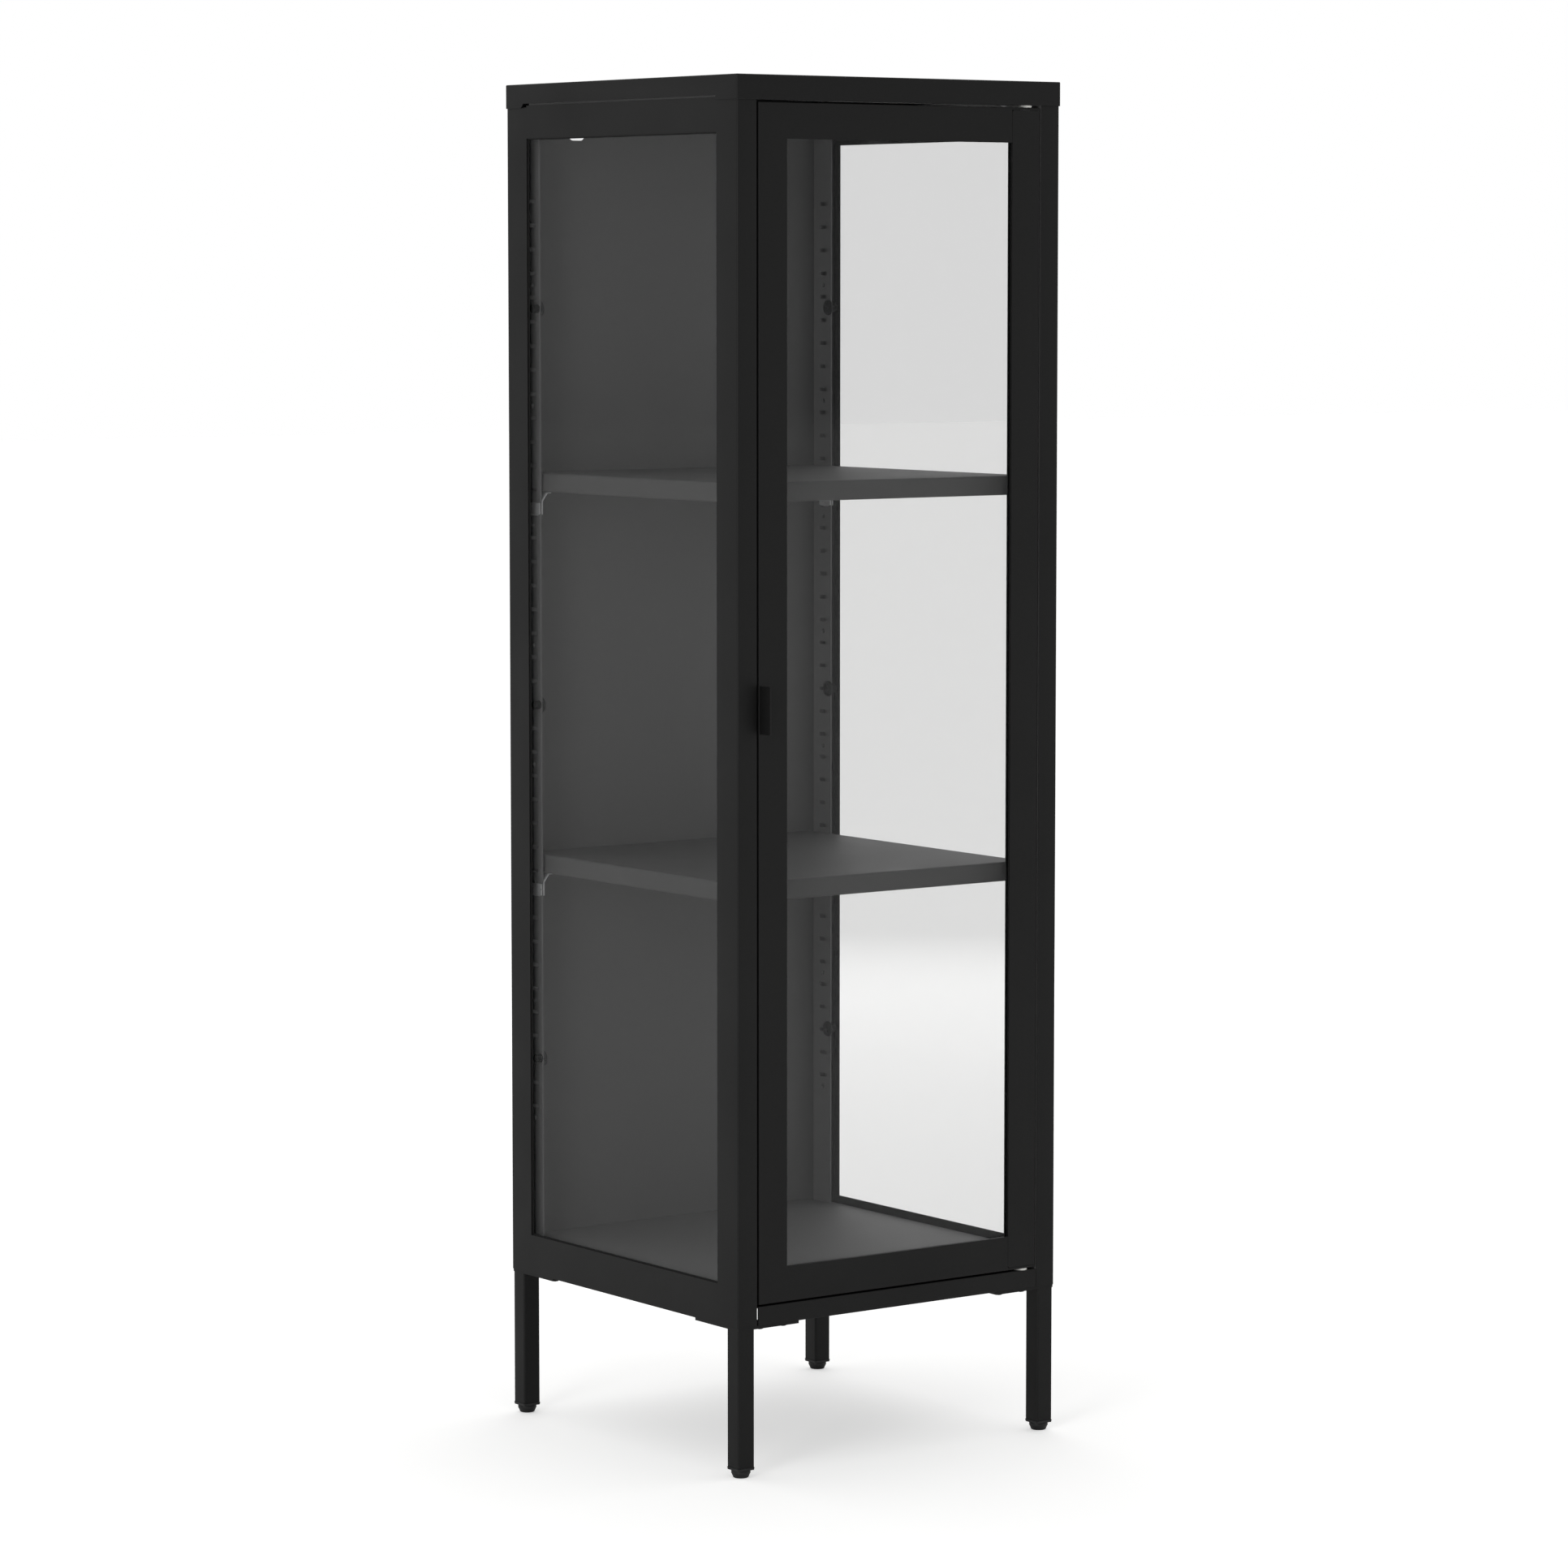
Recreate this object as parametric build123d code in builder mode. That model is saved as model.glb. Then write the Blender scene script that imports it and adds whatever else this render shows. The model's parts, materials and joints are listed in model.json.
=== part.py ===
"""Glazed tower display case on four square legs.

A folded sheet-steel cabinet with a solid back, two glazed sides, a glazed
door on pivot pins, two lift-out shelves on slotted uprights, and four tube
legs with levelling feet.  Millimetres, +Z up, front towards -Y, origin at
the middle of the footprint on the floor.
"""
import os

from build123d import *

os.makedirs("parts", exist_ok=True)

# ------------------------------------------------------------ driving sizes
HEIGHT = 1400.0          # floor to the top of the cap
CASE_W = 406.0           # outside the side panels
CASE_D = 411.0           # front of the door to the back panel
LEG_H = 154.0            # floor to the underside of the case
SHEET = 1.5              # folded steel sheet
HANDLE_REACH = 17.0      # how far the pull tab stands in front of the door
CAP_LAP = 1.0            # the cap stands this far outside the case all round

CAP_SKIRT = 24.5         # height of the cap at its corners
CAP_SIDE_SKIRT = 20.0    # height of the cap along the glazed sides
RAIL_TOP_DROP = 22.0     # top of the side rail below the top of the cap
FOLD_R = 2.0             # outside radius of the case's folded corners

FRONT_POST_FACE = 23.7   # front face of each front post
FRONT_POST_SIDE = 35.5   # side face of each front post
REAR_POST_SIDE = 37.0    # the back panel's wrap round each rear corner
JAMB_DEPTH = 18.0        # front post's return beside the door
WINDOW_LOW = 41.0        # side window above the underside of the case
WINDOW_DROP = 56.0       # side window below the top of the cap

FLOOR_H = 35.0           # case floor above the underside of the case
SILL_H = 19.3            # sill under the door above the same underside
STEP_BACK = 26.0         # sill depth, from the front to the floor's step
TRAY_INSET = 8.5         # floor tray's side walls in from the case's sides

DOOR_GAP = 2.3           # beside the door
DOOR_TOP_DROP = 27.0     # top of the door below the top of the cap
DOOR_LOW = 21.3          # underside of the door above the case's underside
DOOR_T = 18.0            # depth of the folded door
DOOR_BAR = 34.5          # width of the door's lock stile
DOOR_RAIL = 35.5         # height of the door's top and bottom rails
HINGE_STILE = 35.6       # width of the hinge stile
STILE_GAP = 0.3          # joint line beside the hinge stile
PIVOT_IN = 13.6          # pivot axis in from the door's hinge edge
PIVOT_BACK = 7.0         # pivot axis behind the door's front face
PIN_R = 3.0
PIN_HEAD_R = 4.8
PIN_HEAD_T = 3.0
PIN_END = 3.2            # pin past the sheet that its bush sits in
PIN_CLEAR = 0.05         # radial running clearance of a pin in its bush
BUSH_R = 5.0
BUSH_COLLAR_R = 7.0
BUSH_COLLAR_T = 2.0
BUSH_END = 2.5           # sleeve past the same sheet

GLASS_T = 4.0
GASKET_T = 1.5
GLASS_LAP = 10.0         # side glass behind its frame
DOOR_GLASS_LAP = 8.0
GASKET_SHOW = 1.5        # gasket standing into the side window

UPRIGHT_IN = 15.0        # slotted face of an upright in from the case's side
UPRIGHT_EDGE = 40.0      # inner edge of an upright from the front or back
UPRIGHT_LEG = 9.0        # outer edge of its slotted face from the same end
UPRIGHT_FOOT = 3.0       # outer edge of its foot on the post, from the same end
UPRIGHT_TOP_DROP = 26.0
SLOT_PITCH = 25.0
SLOT_COUNT = 39
SLOT_FIRST = 176.0       # lowest slot above the case's underside
SLOT_L = 12.5
SLOT_H = 4.0
SLOT_IN = 26.5           # slot centre from the front or back of the case
HOLE_FIRST = 163.5       # lowest round hole above the case's underside
HOLE_EVERY = 5           # slot pitches between round holes
HOLE_COUNT = 8
HOLE_R = 2.5

SHELF_SLOTS = {"lower": 9, "upper": 25}    # slot number that carries a shelf
SHELF_T = 20.0           # height of a shelf's folded edge
SHELF_INSET = 18.5       # shelf edge in from the case's side
SHELF_FRONT = 29.0       # shelf front edge behind the front of the case
SHELF_BACK = 6.0         # shelf back edge in front of the back of the case
CLIP_RISE = 23.0         # top of a clip's tongue above its slot's centre
CLIP_W = 19.0
CLIP_NECK = 11.0
CLIP_T = 1.5
CLIP_TAIL = 13.5         # tail behind the upright
CLIP_TONGUE = 12.0       # tongue under the shelf, from the slotted face

RETAINER_HEIGHTS = (228.0, 601.5, 1014.5)  # above the case's underside
RETAINER_R = 8.5
RETAINER_IN = 36.0       # retainer axis from the front or back of the case
RETAINER_STEM = 2.0      # radius of the stud behind its head
RETAINER_T = 2.6         # height of the head
RETAINER_TAIL = 3.0      # stud behind the upright, inside its pad
PAD_R = 4.5

LEG_W = 20.0
LEG_WALL = 1.5
LEG_INSET = 1.0          # leg in from the case's corner
LEG_PLATE_T = 3.0
LEG_PLATE_ARM = 76.0
LEG_PLATE_W = 24.0
LEG_BOLTS = (35.0, 64.0)  # bolt centres along each arm from the case corner
LEG_BOLT_LINE = 12.0     # bolt line in from the case's edge
BOLT_R = 2.5
BOLT_HEAD_R = 4.5
BOLT_HEAD_T = 3.0
BOLT_CLEAR = 0.2
LEG_CORNER_R = 2.0
FOOT_H = 8.0
FOOT_R = 9.75
PLUG_COLLAR = 2.5
PLUG_DEPTH = 26.0
PLUG_CLEAR = 0.2
PLUG_PROUD = 0.5         # the plug's collar outside the tube
PLUG_TAPER = 12.0        # degrees
STEM_R = 4.0
STEM_L = 24.0

WALL_SLOT_IN = 87.0      # wall-fixing slot from the case's side
WALL_SLOT_DROP = 51.0    # below the top of the cap
WALL_SLOT_L = 20.0
WALL_SLOT_H = 10.0

HANDLE_H = 48.0
HANDLE_MID = 619.5       # middle of the pull tab above the case's underside
HANDLE_T = 1.4
HANDLE_TAIL = 14.0       # the tab's tail inside the door

# ------------------------------------------------------------ derived places
HALF_W = CASE_W / 2
Y_FRONT = (HANDLE_REACH - CASE_D - CAP_LAP) / 2
Y_BACK = Y_FRONT + CASE_D
Y_MID = (Y_FRONT + Y_BACK) / 2
Z_LOW = LEG_H
Z_TOP = HEIGHT
CAP_BOTTOM = Z_TOP - CAP_SKIRT
DOOR_LEFT = -HALF_W + FRONT_POST_FACE + DOOR_GAP
DOOR_RIGHT = -DOOR_LEFT
DOOR_BOTTOM = Z_LOW + DOOR_LOW
DOOR_TOP = Z_TOP - DOOR_TOP_DROP
PIVOT_X = DOOR_RIGHT - PIVOT_IN
PIVOT_Y = Y_FRONT + PIVOT_BACK
WINDOW_Z = (Z_LOW + WINDOW_LOW, Z_TOP - WINDOW_DROP)
WINDOW_Y = (Y_FRONT + FRONT_POST_SIDE, Y_BACK - REAR_POST_SIDE)
FLOOR_Z = Z_LOW + FLOOR_H
SILL_Z = Z_LOW + SILL_H
STEP_Y = Y_FRONT + STEP_BACK
DOOR_WINDOW_X = (DOOR_LEFT + DOOR_BAR, DOOR_RIGHT - HINGE_STILE)
DOOR_WINDOW_Z = (DOOR_BOTTOM + DOOR_RAIL, DOOR_TOP - DOOR_RAIL)
CORNERS = {
    "front_left": (-1, -1),
    "front_right": (1, -1),
    "back_left": (-1, 1),
    "back_right": (1, 1),
}


# ------------------------------------------------------------ small helpers
def block(x, y, z, mode=Mode.ADD):
    """An axis-aligned block between two values on each axis."""
    low = [min(pair) for pair in (x, y, z)]
    size = [abs(pair[1] - pair[0]) for pair in (x, y, z)]
    with Locations(tuple(low)):
        Box(*size, align=(Align.MIN, Align.MIN, Align.MIN), mode=mode)


def across(side, near, far):
    """X values of two depths measured inwards from one side of the case."""
    return (side * (HALF_W - near), side * (HALF_W - far))


def along(end, near, far):
    """Y values of two depths measured inwards from the front (-1) or back (1)."""
    edge = Y_BACK if end > 0 else Y_FRONT
    return (edge - end * near, edge - end * far)


def upright_rod(x, y, z, radius, mode=Mode.ADD):
    """A vertical round bar at x, y between two heights."""
    with Locations((x, y, sum(z) / 2)):
        Cylinder(radius, abs(z[1] - z[0]), mode=mode)


def cross_rod(side, depth, y, z, radius, mode=Mode.ADD):
    """A round bar along X between two depths from one side of the case."""
    low, high = sorted(across(side, *depth))
    with Locations(Location(((low + high) / 2, y, z), (0, 90, 0))):
        Cylinder(radius, high - low, mode=mode)


def ring(plane, centre, inner, outer, thickness):
    """A rectangular frame on a plane: inner and outer sizes as (wide, high)."""
    with BuildSketch(plane) as outline:
        with Locations(centre):
            Rectangle(*outer)
            Rectangle(*inner, mode=Mode.SUBTRACT)
    extrude(outline.sketch, amount=thickness)


def save(builder, name):
    """Labels one finished sub-part and writes its file."""
    builder.part.label = name
    export_step(builder.part, f"parts/{name}.step")


def slot_z(number):
    """Height of a numbered slot in the uprights, counted from the lowest."""
    return Z_LOW + SLOT_FIRST + SLOT_PITCH * number


# ------------------------------------------------------------ cap
FLANGE = 17.0            # inward flange of the cap along its sides
HEADER = 23.0            # the cap's flange over the door

with BuildPart() as top_panel:
    with BuildSketch(Plane.XY.offset(CAP_BOTTOM)):
        with Locations((0, Y_MID)):
            RectangleRounded(CASE_W + 2 * CAP_LAP, CASE_D + 2 * CAP_LAP, FOLD_R)
    extrude(amount=CAP_SKIRT)
    fillet(top_panel.faces().sort_by(Axis.Z)[-1].edges(), SHEET * 0.8)
    with BuildSketch(Plane.XY.offset(CAP_BOTTOM)):
        with Locations((0, Y_MID)):
            Rectangle(CASE_W + 2 * CAP_LAP - 2 * SHEET, CASE_D + 2 * CAP_LAP - 2 * SHEET)
    extrude(amount=CAP_SKIRT - SHEET, mode=Mode.SUBTRACT)
    # the side skirts are shallower between the posts, with a slanted rear notch
    relief = CAP_SKIRT - CAP_SIDE_SKIRT
    with BuildSketch(Plane.YZ):
        with BuildLine():
            Polyline(
                (WINDOW_Y[0], CAP_BOTTOM),
                (WINDOW_Y[0], CAP_BOTTOM + relief),
                (WINDOW_Y[1] + relief, CAP_BOTTOM + relief),
                (WINDOW_Y[1] + 2 * relief, CAP_BOTTOM),
                close=True,
            )
        make_face()
    extrude(amount=CASE_W, both=True, mode=Mode.SUBTRACT)
    inner = HALF_W + CAP_LAP - SHEET
    for side in (-1, 1):
        flange_z = Z_TOP - CAP_SIDE_SKIRT
        block((side * inner, side * (HALF_W - FLANGE)), WINDOW_Y, (flange_z, flange_z + SHEET))
    block((-inner, inner), (Y_FRONT, Y_FRONT + HEADER), (CAP_BOTTOM, CAP_BOTTOM + SHEET))
    block((-inner, inner), (Y_BACK - FLANGE, Y_BACK), (CAP_BOTTOM, CAP_BOTTOM + SHEET))
    upright_rod(PIVOT_X, PIVOT_Y, (CAP_BOTTOM, CAP_BOTTOM + SHEET), BUSH_R, Mode.SUBTRACT)
save(top_panel, "top_panel")


# ------------------------------------------------------------ side panels
STEP_IN = 3.5            # the top rail's joggle under the cap
TOP_FLANGE = 19.0
BOTTOM_FLANGE = 26.0
TAB_L = 26.0             # the rails' tabs behind the back panel's wrap
TAB_LAP = 8.0            # the part of a tab that lies on its own rail
TAB_H = 23.0


def side_panel(side):
    """Front post, top rail and bottom rail of one side, folded from one sheet."""
    with BuildPart() as panel:
        with BuildSketch(Plane.XY.offset(Z_LOW)):
            with BuildLine():
                section = [
                    (0, 0),
                    (FRONT_POST_FACE, 0),
                    (FRONT_POST_FACE, JAMB_DEPTH),
                    (FRONT_POST_FACE - SHEET, JAMB_DEPTH),
                    (FRONT_POST_FACE - SHEET, SHEET),
                    (SHEET, SHEET),
                    (SHEET, CASE_D - REAR_POST_SIDE),
                    (0, CASE_D - REAR_POST_SIDE),
                ]
                Polyline(*[(side * (HALF_W - d), Y_FRONT + y) for d, y in section], close=True)
            make_face()
        extrude(amount=CAP_BOTTOM - Z_LOW)
        corner_edges = panel.edges().filter_by(Axis.Z).filter_by(
            lambda e: abs(e.center().Y - Y_FRONT) < 0.01
        )
        fillet(corner_edges.sort_by(Axis.X)[0 if side < 0 else -1], FOLD_R)
        fillet(
            panel.edges().filter_by(Axis.Z).filter_by(
                lambda e: abs(e.center().Y - Y_FRONT) < 0.01
                and abs(abs(e.center().X) - (HALF_W - FRONT_POST_FACE)) < 0.01
            ),
            SHEET * 0.6,
        )
        block(across(side, -1, SHEET + 1), (WINDOW_Y[0], WINDOW_Y[1] + 1), WINDOW_Z, Mode.SUBTRACT)
        # top rail: the face, its joggle and the flange that the cap sits on
        rail_top = Z_TOP - RAIL_TOP_DROP
        seat = Z_TOP - CAP_SIDE_SKIRT
        block(across(side, 0, SHEET), WINDOW_Y, (CAP_BOTTOM, rail_top))
        block(across(side, SHEET, STEP_IN + SHEET), WINDOW_Y, (rail_top - SHEET, rail_top))
        block(across(side, STEP_IN, STEP_IN + SHEET), WINDOW_Y, (rail_top, seat))
        block(across(side, STEP_IN + SHEET, TOP_FLANGE), WINDOW_Y, (seat - SHEET, seat))
        # bottom flange that the floor tray and the leg plates bolt to
        flange_y = (Y_FRONT + JAMB_DEPTH + 3, WINDOW_Y[1])
        block(across(side, SHEET, BOTTOM_FLANGE), flange_y, (Z_LOW, Z_LOW + SHEET))
        tab_y = WINDOW_Y[1] - TAB_LAP
        for low, high in ((Z_LOW + 3, Z_LOW + 3 + TAB_H), (Z_TOP - 43, Z_TOP - 26)):
            block(across(side, SHEET, 2 * SHEET), (tab_y, tab_y + TAB_L), (low, high))
    return panel


for side, hand in ((-1, "left"), (1, "right")):
    save(side_panel(side), f"side_panel_{hand}")


# ------------------------------------------------------------ back panel
with BuildPart() as back_panel:
    with BuildSketch(Plane.XY.offset(Z_LOW)):
        with BuildLine():
            wrap = Y_BACK - REAR_POST_SIDE
            Polyline(
                (-HALF_W, wrap),
                (-HALF_W, Y_BACK),
                (HALF_W, Y_BACK),
                (HALF_W, wrap),
                (HALF_W - SHEET, wrap),
                (HALF_W - SHEET, Y_BACK - SHEET),
                (-HALF_W + SHEET, Y_BACK - SHEET),
                (-HALF_W + SHEET, wrap),
                close=True,
            )
        make_face()
    extrude(amount=CAP_BOTTOM - Z_LOW)
    rear_corners = back_panel.edges().filter_by(Axis.Z).filter_by(
        lambda e: abs(e.center().Y - Y_BACK) < 0.01
    )
    fillet(rear_corners, FOLD_R)
    for side in (-1, 1):
        with BuildSketch(Plane.XZ.offset(-Y_BACK)):
            with Locations((side * (HALF_W - WALL_SLOT_IN), Z_TOP - WALL_SLOT_DROP)):
                SlotOverall(WALL_SLOT_L, WALL_SLOT_H)
        extrude(amount=SHEET, mode=Mode.SUBTRACT)
    inner = HALF_W - BOTTOM_FLANGE - 2
    block((-inner, inner), (Y_BACK - FLANGE, Y_BACK - SHEET), (Z_LOW, Z_LOW + SHEET))
    block((-inner, inner), (Y_BACK - FLANGE, Y_BACK - SHEET), (CAP_BOTTOM - SHEET, CAP_BOTTOM))
save(back_panel, "back_panel")


# ------------------------------------------------------------ floor tray
TRAY_BACK = 3.0          # tray's rear wall in front of the case's back
SKIRT_GAP = 1.3          # beside the tray's front skirt
RETURN = 14.0            # the tray's inward flanges

with BuildPart() as bottom_panel:
    tray_x = HALF_W - TRAY_INSET
    tray_y = (STEP_Y, Y_BACK - TRAY_BACK)
    base = Z_LOW + SHEET
    block((-tray_x, tray_x), tray_y, (FLOOR_Z - SHEET, FLOOR_Z))
    block((-tray_x, tray_x), (tray_y[1] - SHEET, tray_y[1]), (base, FLOOR_Z - SHEET))
    for side in (-1, 1):
        block((side * tray_x, side * (tray_x - SHEET)), tray_y, (base, FLOOR_Z - SHEET))
        block((side * tray_x, side * (tray_x - RETURN)), (STEP_Y + RETURN, tray_y[1]), (base, base + SHEET))
    block((-tray_x, tray_x), (tray_y[1] - RETURN, tray_y[1]), (base, base + SHEET))
    # step and sill under the door, and the front skirt between the posts
    sill_x = HALF_W - FRONT_POST_FACE - SKIRT_GAP
    block((-tray_x, tray_x), (STEP_Y, STEP_Y + SHEET), (SILL_Z - SHEET, FLOOR_Z - SHEET))
    block((-sill_x, sill_x), (Y_FRONT, STEP_Y), (SILL_Z - SHEET, SILL_Z))
    block((-sill_x, sill_x), (Y_FRONT, Y_FRONT + SHEET), (Z_LOW, SILL_Z))
    hem_x = HALF_W - BOTTOM_FLANGE - 1
    block((-hem_x, hem_x), (Y_FRONT + SHEET, Y_FRONT + RETURN + 8), (Z_LOW, Z_LOW + SHEET))
    front_edges = bottom_panel.edges().filter_by(Axis.X).filter_by(
        lambda e: abs(e.center().Y - Y_FRONT) < 0.01 and e.length > CASE_W / 2
    )
    fillet(front_edges, SHEET * 0.6)
    upright_rod(PIVOT_X, PIVOT_Y, (SILL_Z - SHEET, SILL_Z), BUSH_R, Mode.SUBTRACT)
save(bottom_panel, "bottom_panel")


# ------------------------------------------------------------ side glass and gaskets
GLASS_Y = (WINDOW_Y[0] - GLASS_LAP, WINDOW_Y[1] + GLASS_LAP)
GLASS_Z = (WINDOW_Z[0] - GLASS_LAP, WINDOW_Z[1] + GLASS_LAP)


def side_glass(side):
    """One clear pane behind the side window, with its edges arrised."""
    with BuildPart() as pane:
        block(across(side, SHEET + GASKET_T, SHEET + GASKET_T + GLASS_T), GLASS_Y, GLASS_Z)
        chamfer(pane.edges(), 0.4)
    return pane


def side_gasket(side):
    """Black strip round the window, between the sheet and the pane."""
    middle = (sum(WINDOW_Y) / 2, sum(WINDOW_Z) / 2)
    wide = WINDOW_Y[1] - WINDOW_Y[0]
    high = WINDOW_Z[1] - WINDOW_Z[0]
    start = min(across(side, SHEET, SHEET + GASKET_T))
    with BuildPart() as strip:
        ring(
            Plane.YZ.offset(start),
            middle,
            (wide - 2 * GASKET_SHOW, high - 2 * GASKET_SHOW),
            (wide + 2 * GLASS_LAP - 4, high + 2 * GLASS_LAP - 4),
            GASKET_T,
        )
    return strip


for side, hand in ((-1, "left"), (1, "right")):
    save(side_glass(side), f"glass_{hand}")
    save(side_gasket(side), f"glass_gasket_{hand}")


# ------------------------------------------------------------ slotted uprights
UPRIGHT_TOP = Z_TOP - UPRIGHT_TOP_DROP


def shelf_upright(side, end):
    """Folded strip with a slotted face, an outward leg and a foot on the post."""
    face_in = UPRIGHT_IN - SHEET
    with BuildPart() as strip:
        height = (FLOOR_Z, UPRIGHT_TOP)
        block(across(side, face_in, UPRIGHT_IN), along(end, UPRIGHT_LEG, UPRIGHT_EDGE), height)
        block(across(side, SHEET, face_in), along(end, UPRIGHT_LEG, UPRIGHT_LEG + SHEET), height)
        block(across(side, SHEET, 2 * SHEET), along(end, UPRIGHT_FOOT, UPRIGHT_LEG), height)
        mid_x = sum(across(side, face_in, UPRIGHT_IN)) / 2
        slot_y = along(end, SLOT_IN, SLOT_IN)[0]
        with Locations(*[(mid_x, slot_y, slot_z(k)) for k in range(SLOT_COUNT)]):
            Box(2 * SHEET, SLOT_L, SLOT_H, mode=Mode.SUBTRACT)
        for k in range(HOLE_COUNT):
            hole_z = Z_LOW + HOLE_FIRST + HOLE_EVERY * SLOT_PITCH * k
            cross_rod(side, (face_in - 1, UPRIGHT_IN + 1), slot_y, hole_z, HOLE_R, Mode.SUBTRACT)
        stud_y = along(end, RETAINER_IN, RETAINER_IN)[0]
        through = (face_in - 1, UPRIGHT_IN + 1)
        for rise in RETAINER_HEIGHTS:
            cross_rod(side, through, stud_y, Z_LOW + rise, RETAINER_STEM, Mode.SUBTRACT)
    return strip


for corner, (side, end) in CORNERS.items():
    save(shelf_upright(side, end), f"upright_{corner}")


# ------------------------------------------------------------ glass retainers
def retainers(side):
    """Round-headed studs through one side's uprights, domed on the inside."""
    with BuildPart() as studs:
        for end in (-1, 1):
            y = along(end, RETAINER_IN, RETAINER_IN)[0]
            for height in RETAINER_HEIGHTS:
                z = Z_LOW + height
                cross_rod(side, (UPRIGHT_IN, UPRIGHT_IN + RETAINER_T), y, z, RETAINER_R)
                cross_rod(side, (UPRIGHT_IN - SHEET - RETAINER_TAIL, UPRIGHT_IN), y, z, RETAINER_STEM)
        rims = studs.edges().filter_by(GeomType.CIRCLE).filter_by(
            lambda e: abs(HALF_W - abs(e.center().X) - UPRIGHT_IN - RETAINER_T) < 0.01
        )
        fillet(rims, 0.8)
    return studs


def retainer_pads(side):
    """Rubber pads on the studs, pressing the pane against its gasket."""
    glass_face = SHEET + GASKET_T + GLASS_T
    back = UPRIGHT_IN - SHEET
    with BuildPart() as pads:
        for end in (-1, 1):
            y = along(end, RETAINER_IN, RETAINER_IN)[0]
            for rise in RETAINER_HEIGHTS:
                z = Z_LOW + rise
                cross_rod(side, (glass_face, back), y, z, PAD_R)
                cross_rod(side, (back - RETAINER_TAIL, back), y, z, RETAINER_STEM, Mode.SUBTRACT)
    return pads


for side, hand in ((-1, "left"), (1, "right")):
    save(retainers(side), f"glass_retainers_{hand}")
    save(retainer_pads(side), f"retainer_pads_{hand}")


# ------------------------------------------------------------ shelves and clips
def shelf(level):
    """A pan turned upside down: a flat top with folded edges and lower returns."""
    top = slot_z(SHELF_SLOTS[level]) + CLIP_RISE + SHELF_T
    half_x = HALF_W - SHELF_INSET
    y_pair = (Y_FRONT + SHELF_FRONT, Y_BACK - SHELF_BACK)
    with BuildPart() as pan:
        block((-half_x, half_x), y_pair, (top - SHELF_T, top))
        fillet(pan.faces().sort_by(Axis.Z)[-1].edges(), SHEET * 0.8)
        low_x = half_x - SHEET
        low_y = (y_pair[0] + SHEET, y_pair[1] - SHEET)
        block((-low_x, low_x), low_y, (top - SHELF_T + SHEET, top - SHEET), Mode.SUBTRACT)
        lip_x = half_x - RETURN
        lip_y = (y_pair[0] + RETURN, y_pair[1] - RETURN)
        block((-lip_x, lip_x), lip_y, (top - SHELF_T, top - SHELF_T + SHEET), Mode.SUBTRACT)
    return pan


def shelf_clips(level):
    """Four bent strips: a tail behind the upright, a neck, a body and a tongue."""
    centre = slot_z(SHELF_SLOTS[level])
    foot = centre - SLOT_H / 2 + 0.4
    tongue = centre + CLIP_RISE
    tail = UPRIGHT_IN - SHEET
    with BuildPart() as clips:
        for side, end in CORNERS.values():
            wide = along(end, SLOT_IN - CLIP_NECK / 2, SLOT_IN - CLIP_NECK / 2 + CLIP_W)
            neck = along(end, SLOT_IN - CLIP_NECK / 2, SLOT_IN + CLIP_NECK / 2)
            block(across(side, tail - CLIP_T, tail), wide, (foot, foot + CLIP_TAIL))
            block(across(side, tail - CLIP_T, UPRIGHT_IN + CLIP_T), neck, (foot, foot + CLIP_T))
            block(across(side, UPRIGHT_IN, UPRIGHT_IN + CLIP_T), wide, (foot, tongue))
            block(across(side, UPRIGHT_IN, UPRIGHT_IN + CLIP_TONGUE), wide, (tongue - CLIP_T, tongue))
    return clips


for level in SHELF_SLOTS:
    save(shelf(level), f"shelf_{level}")
    save(shelf_clips(level), f"shelf_clips_{level}")


# ------------------------------------------------------------ door
LIP = 12.0               # the door's rear lips
SHELL_END = 2.2          # top and bottom walls shown past the hinge stile

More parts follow.
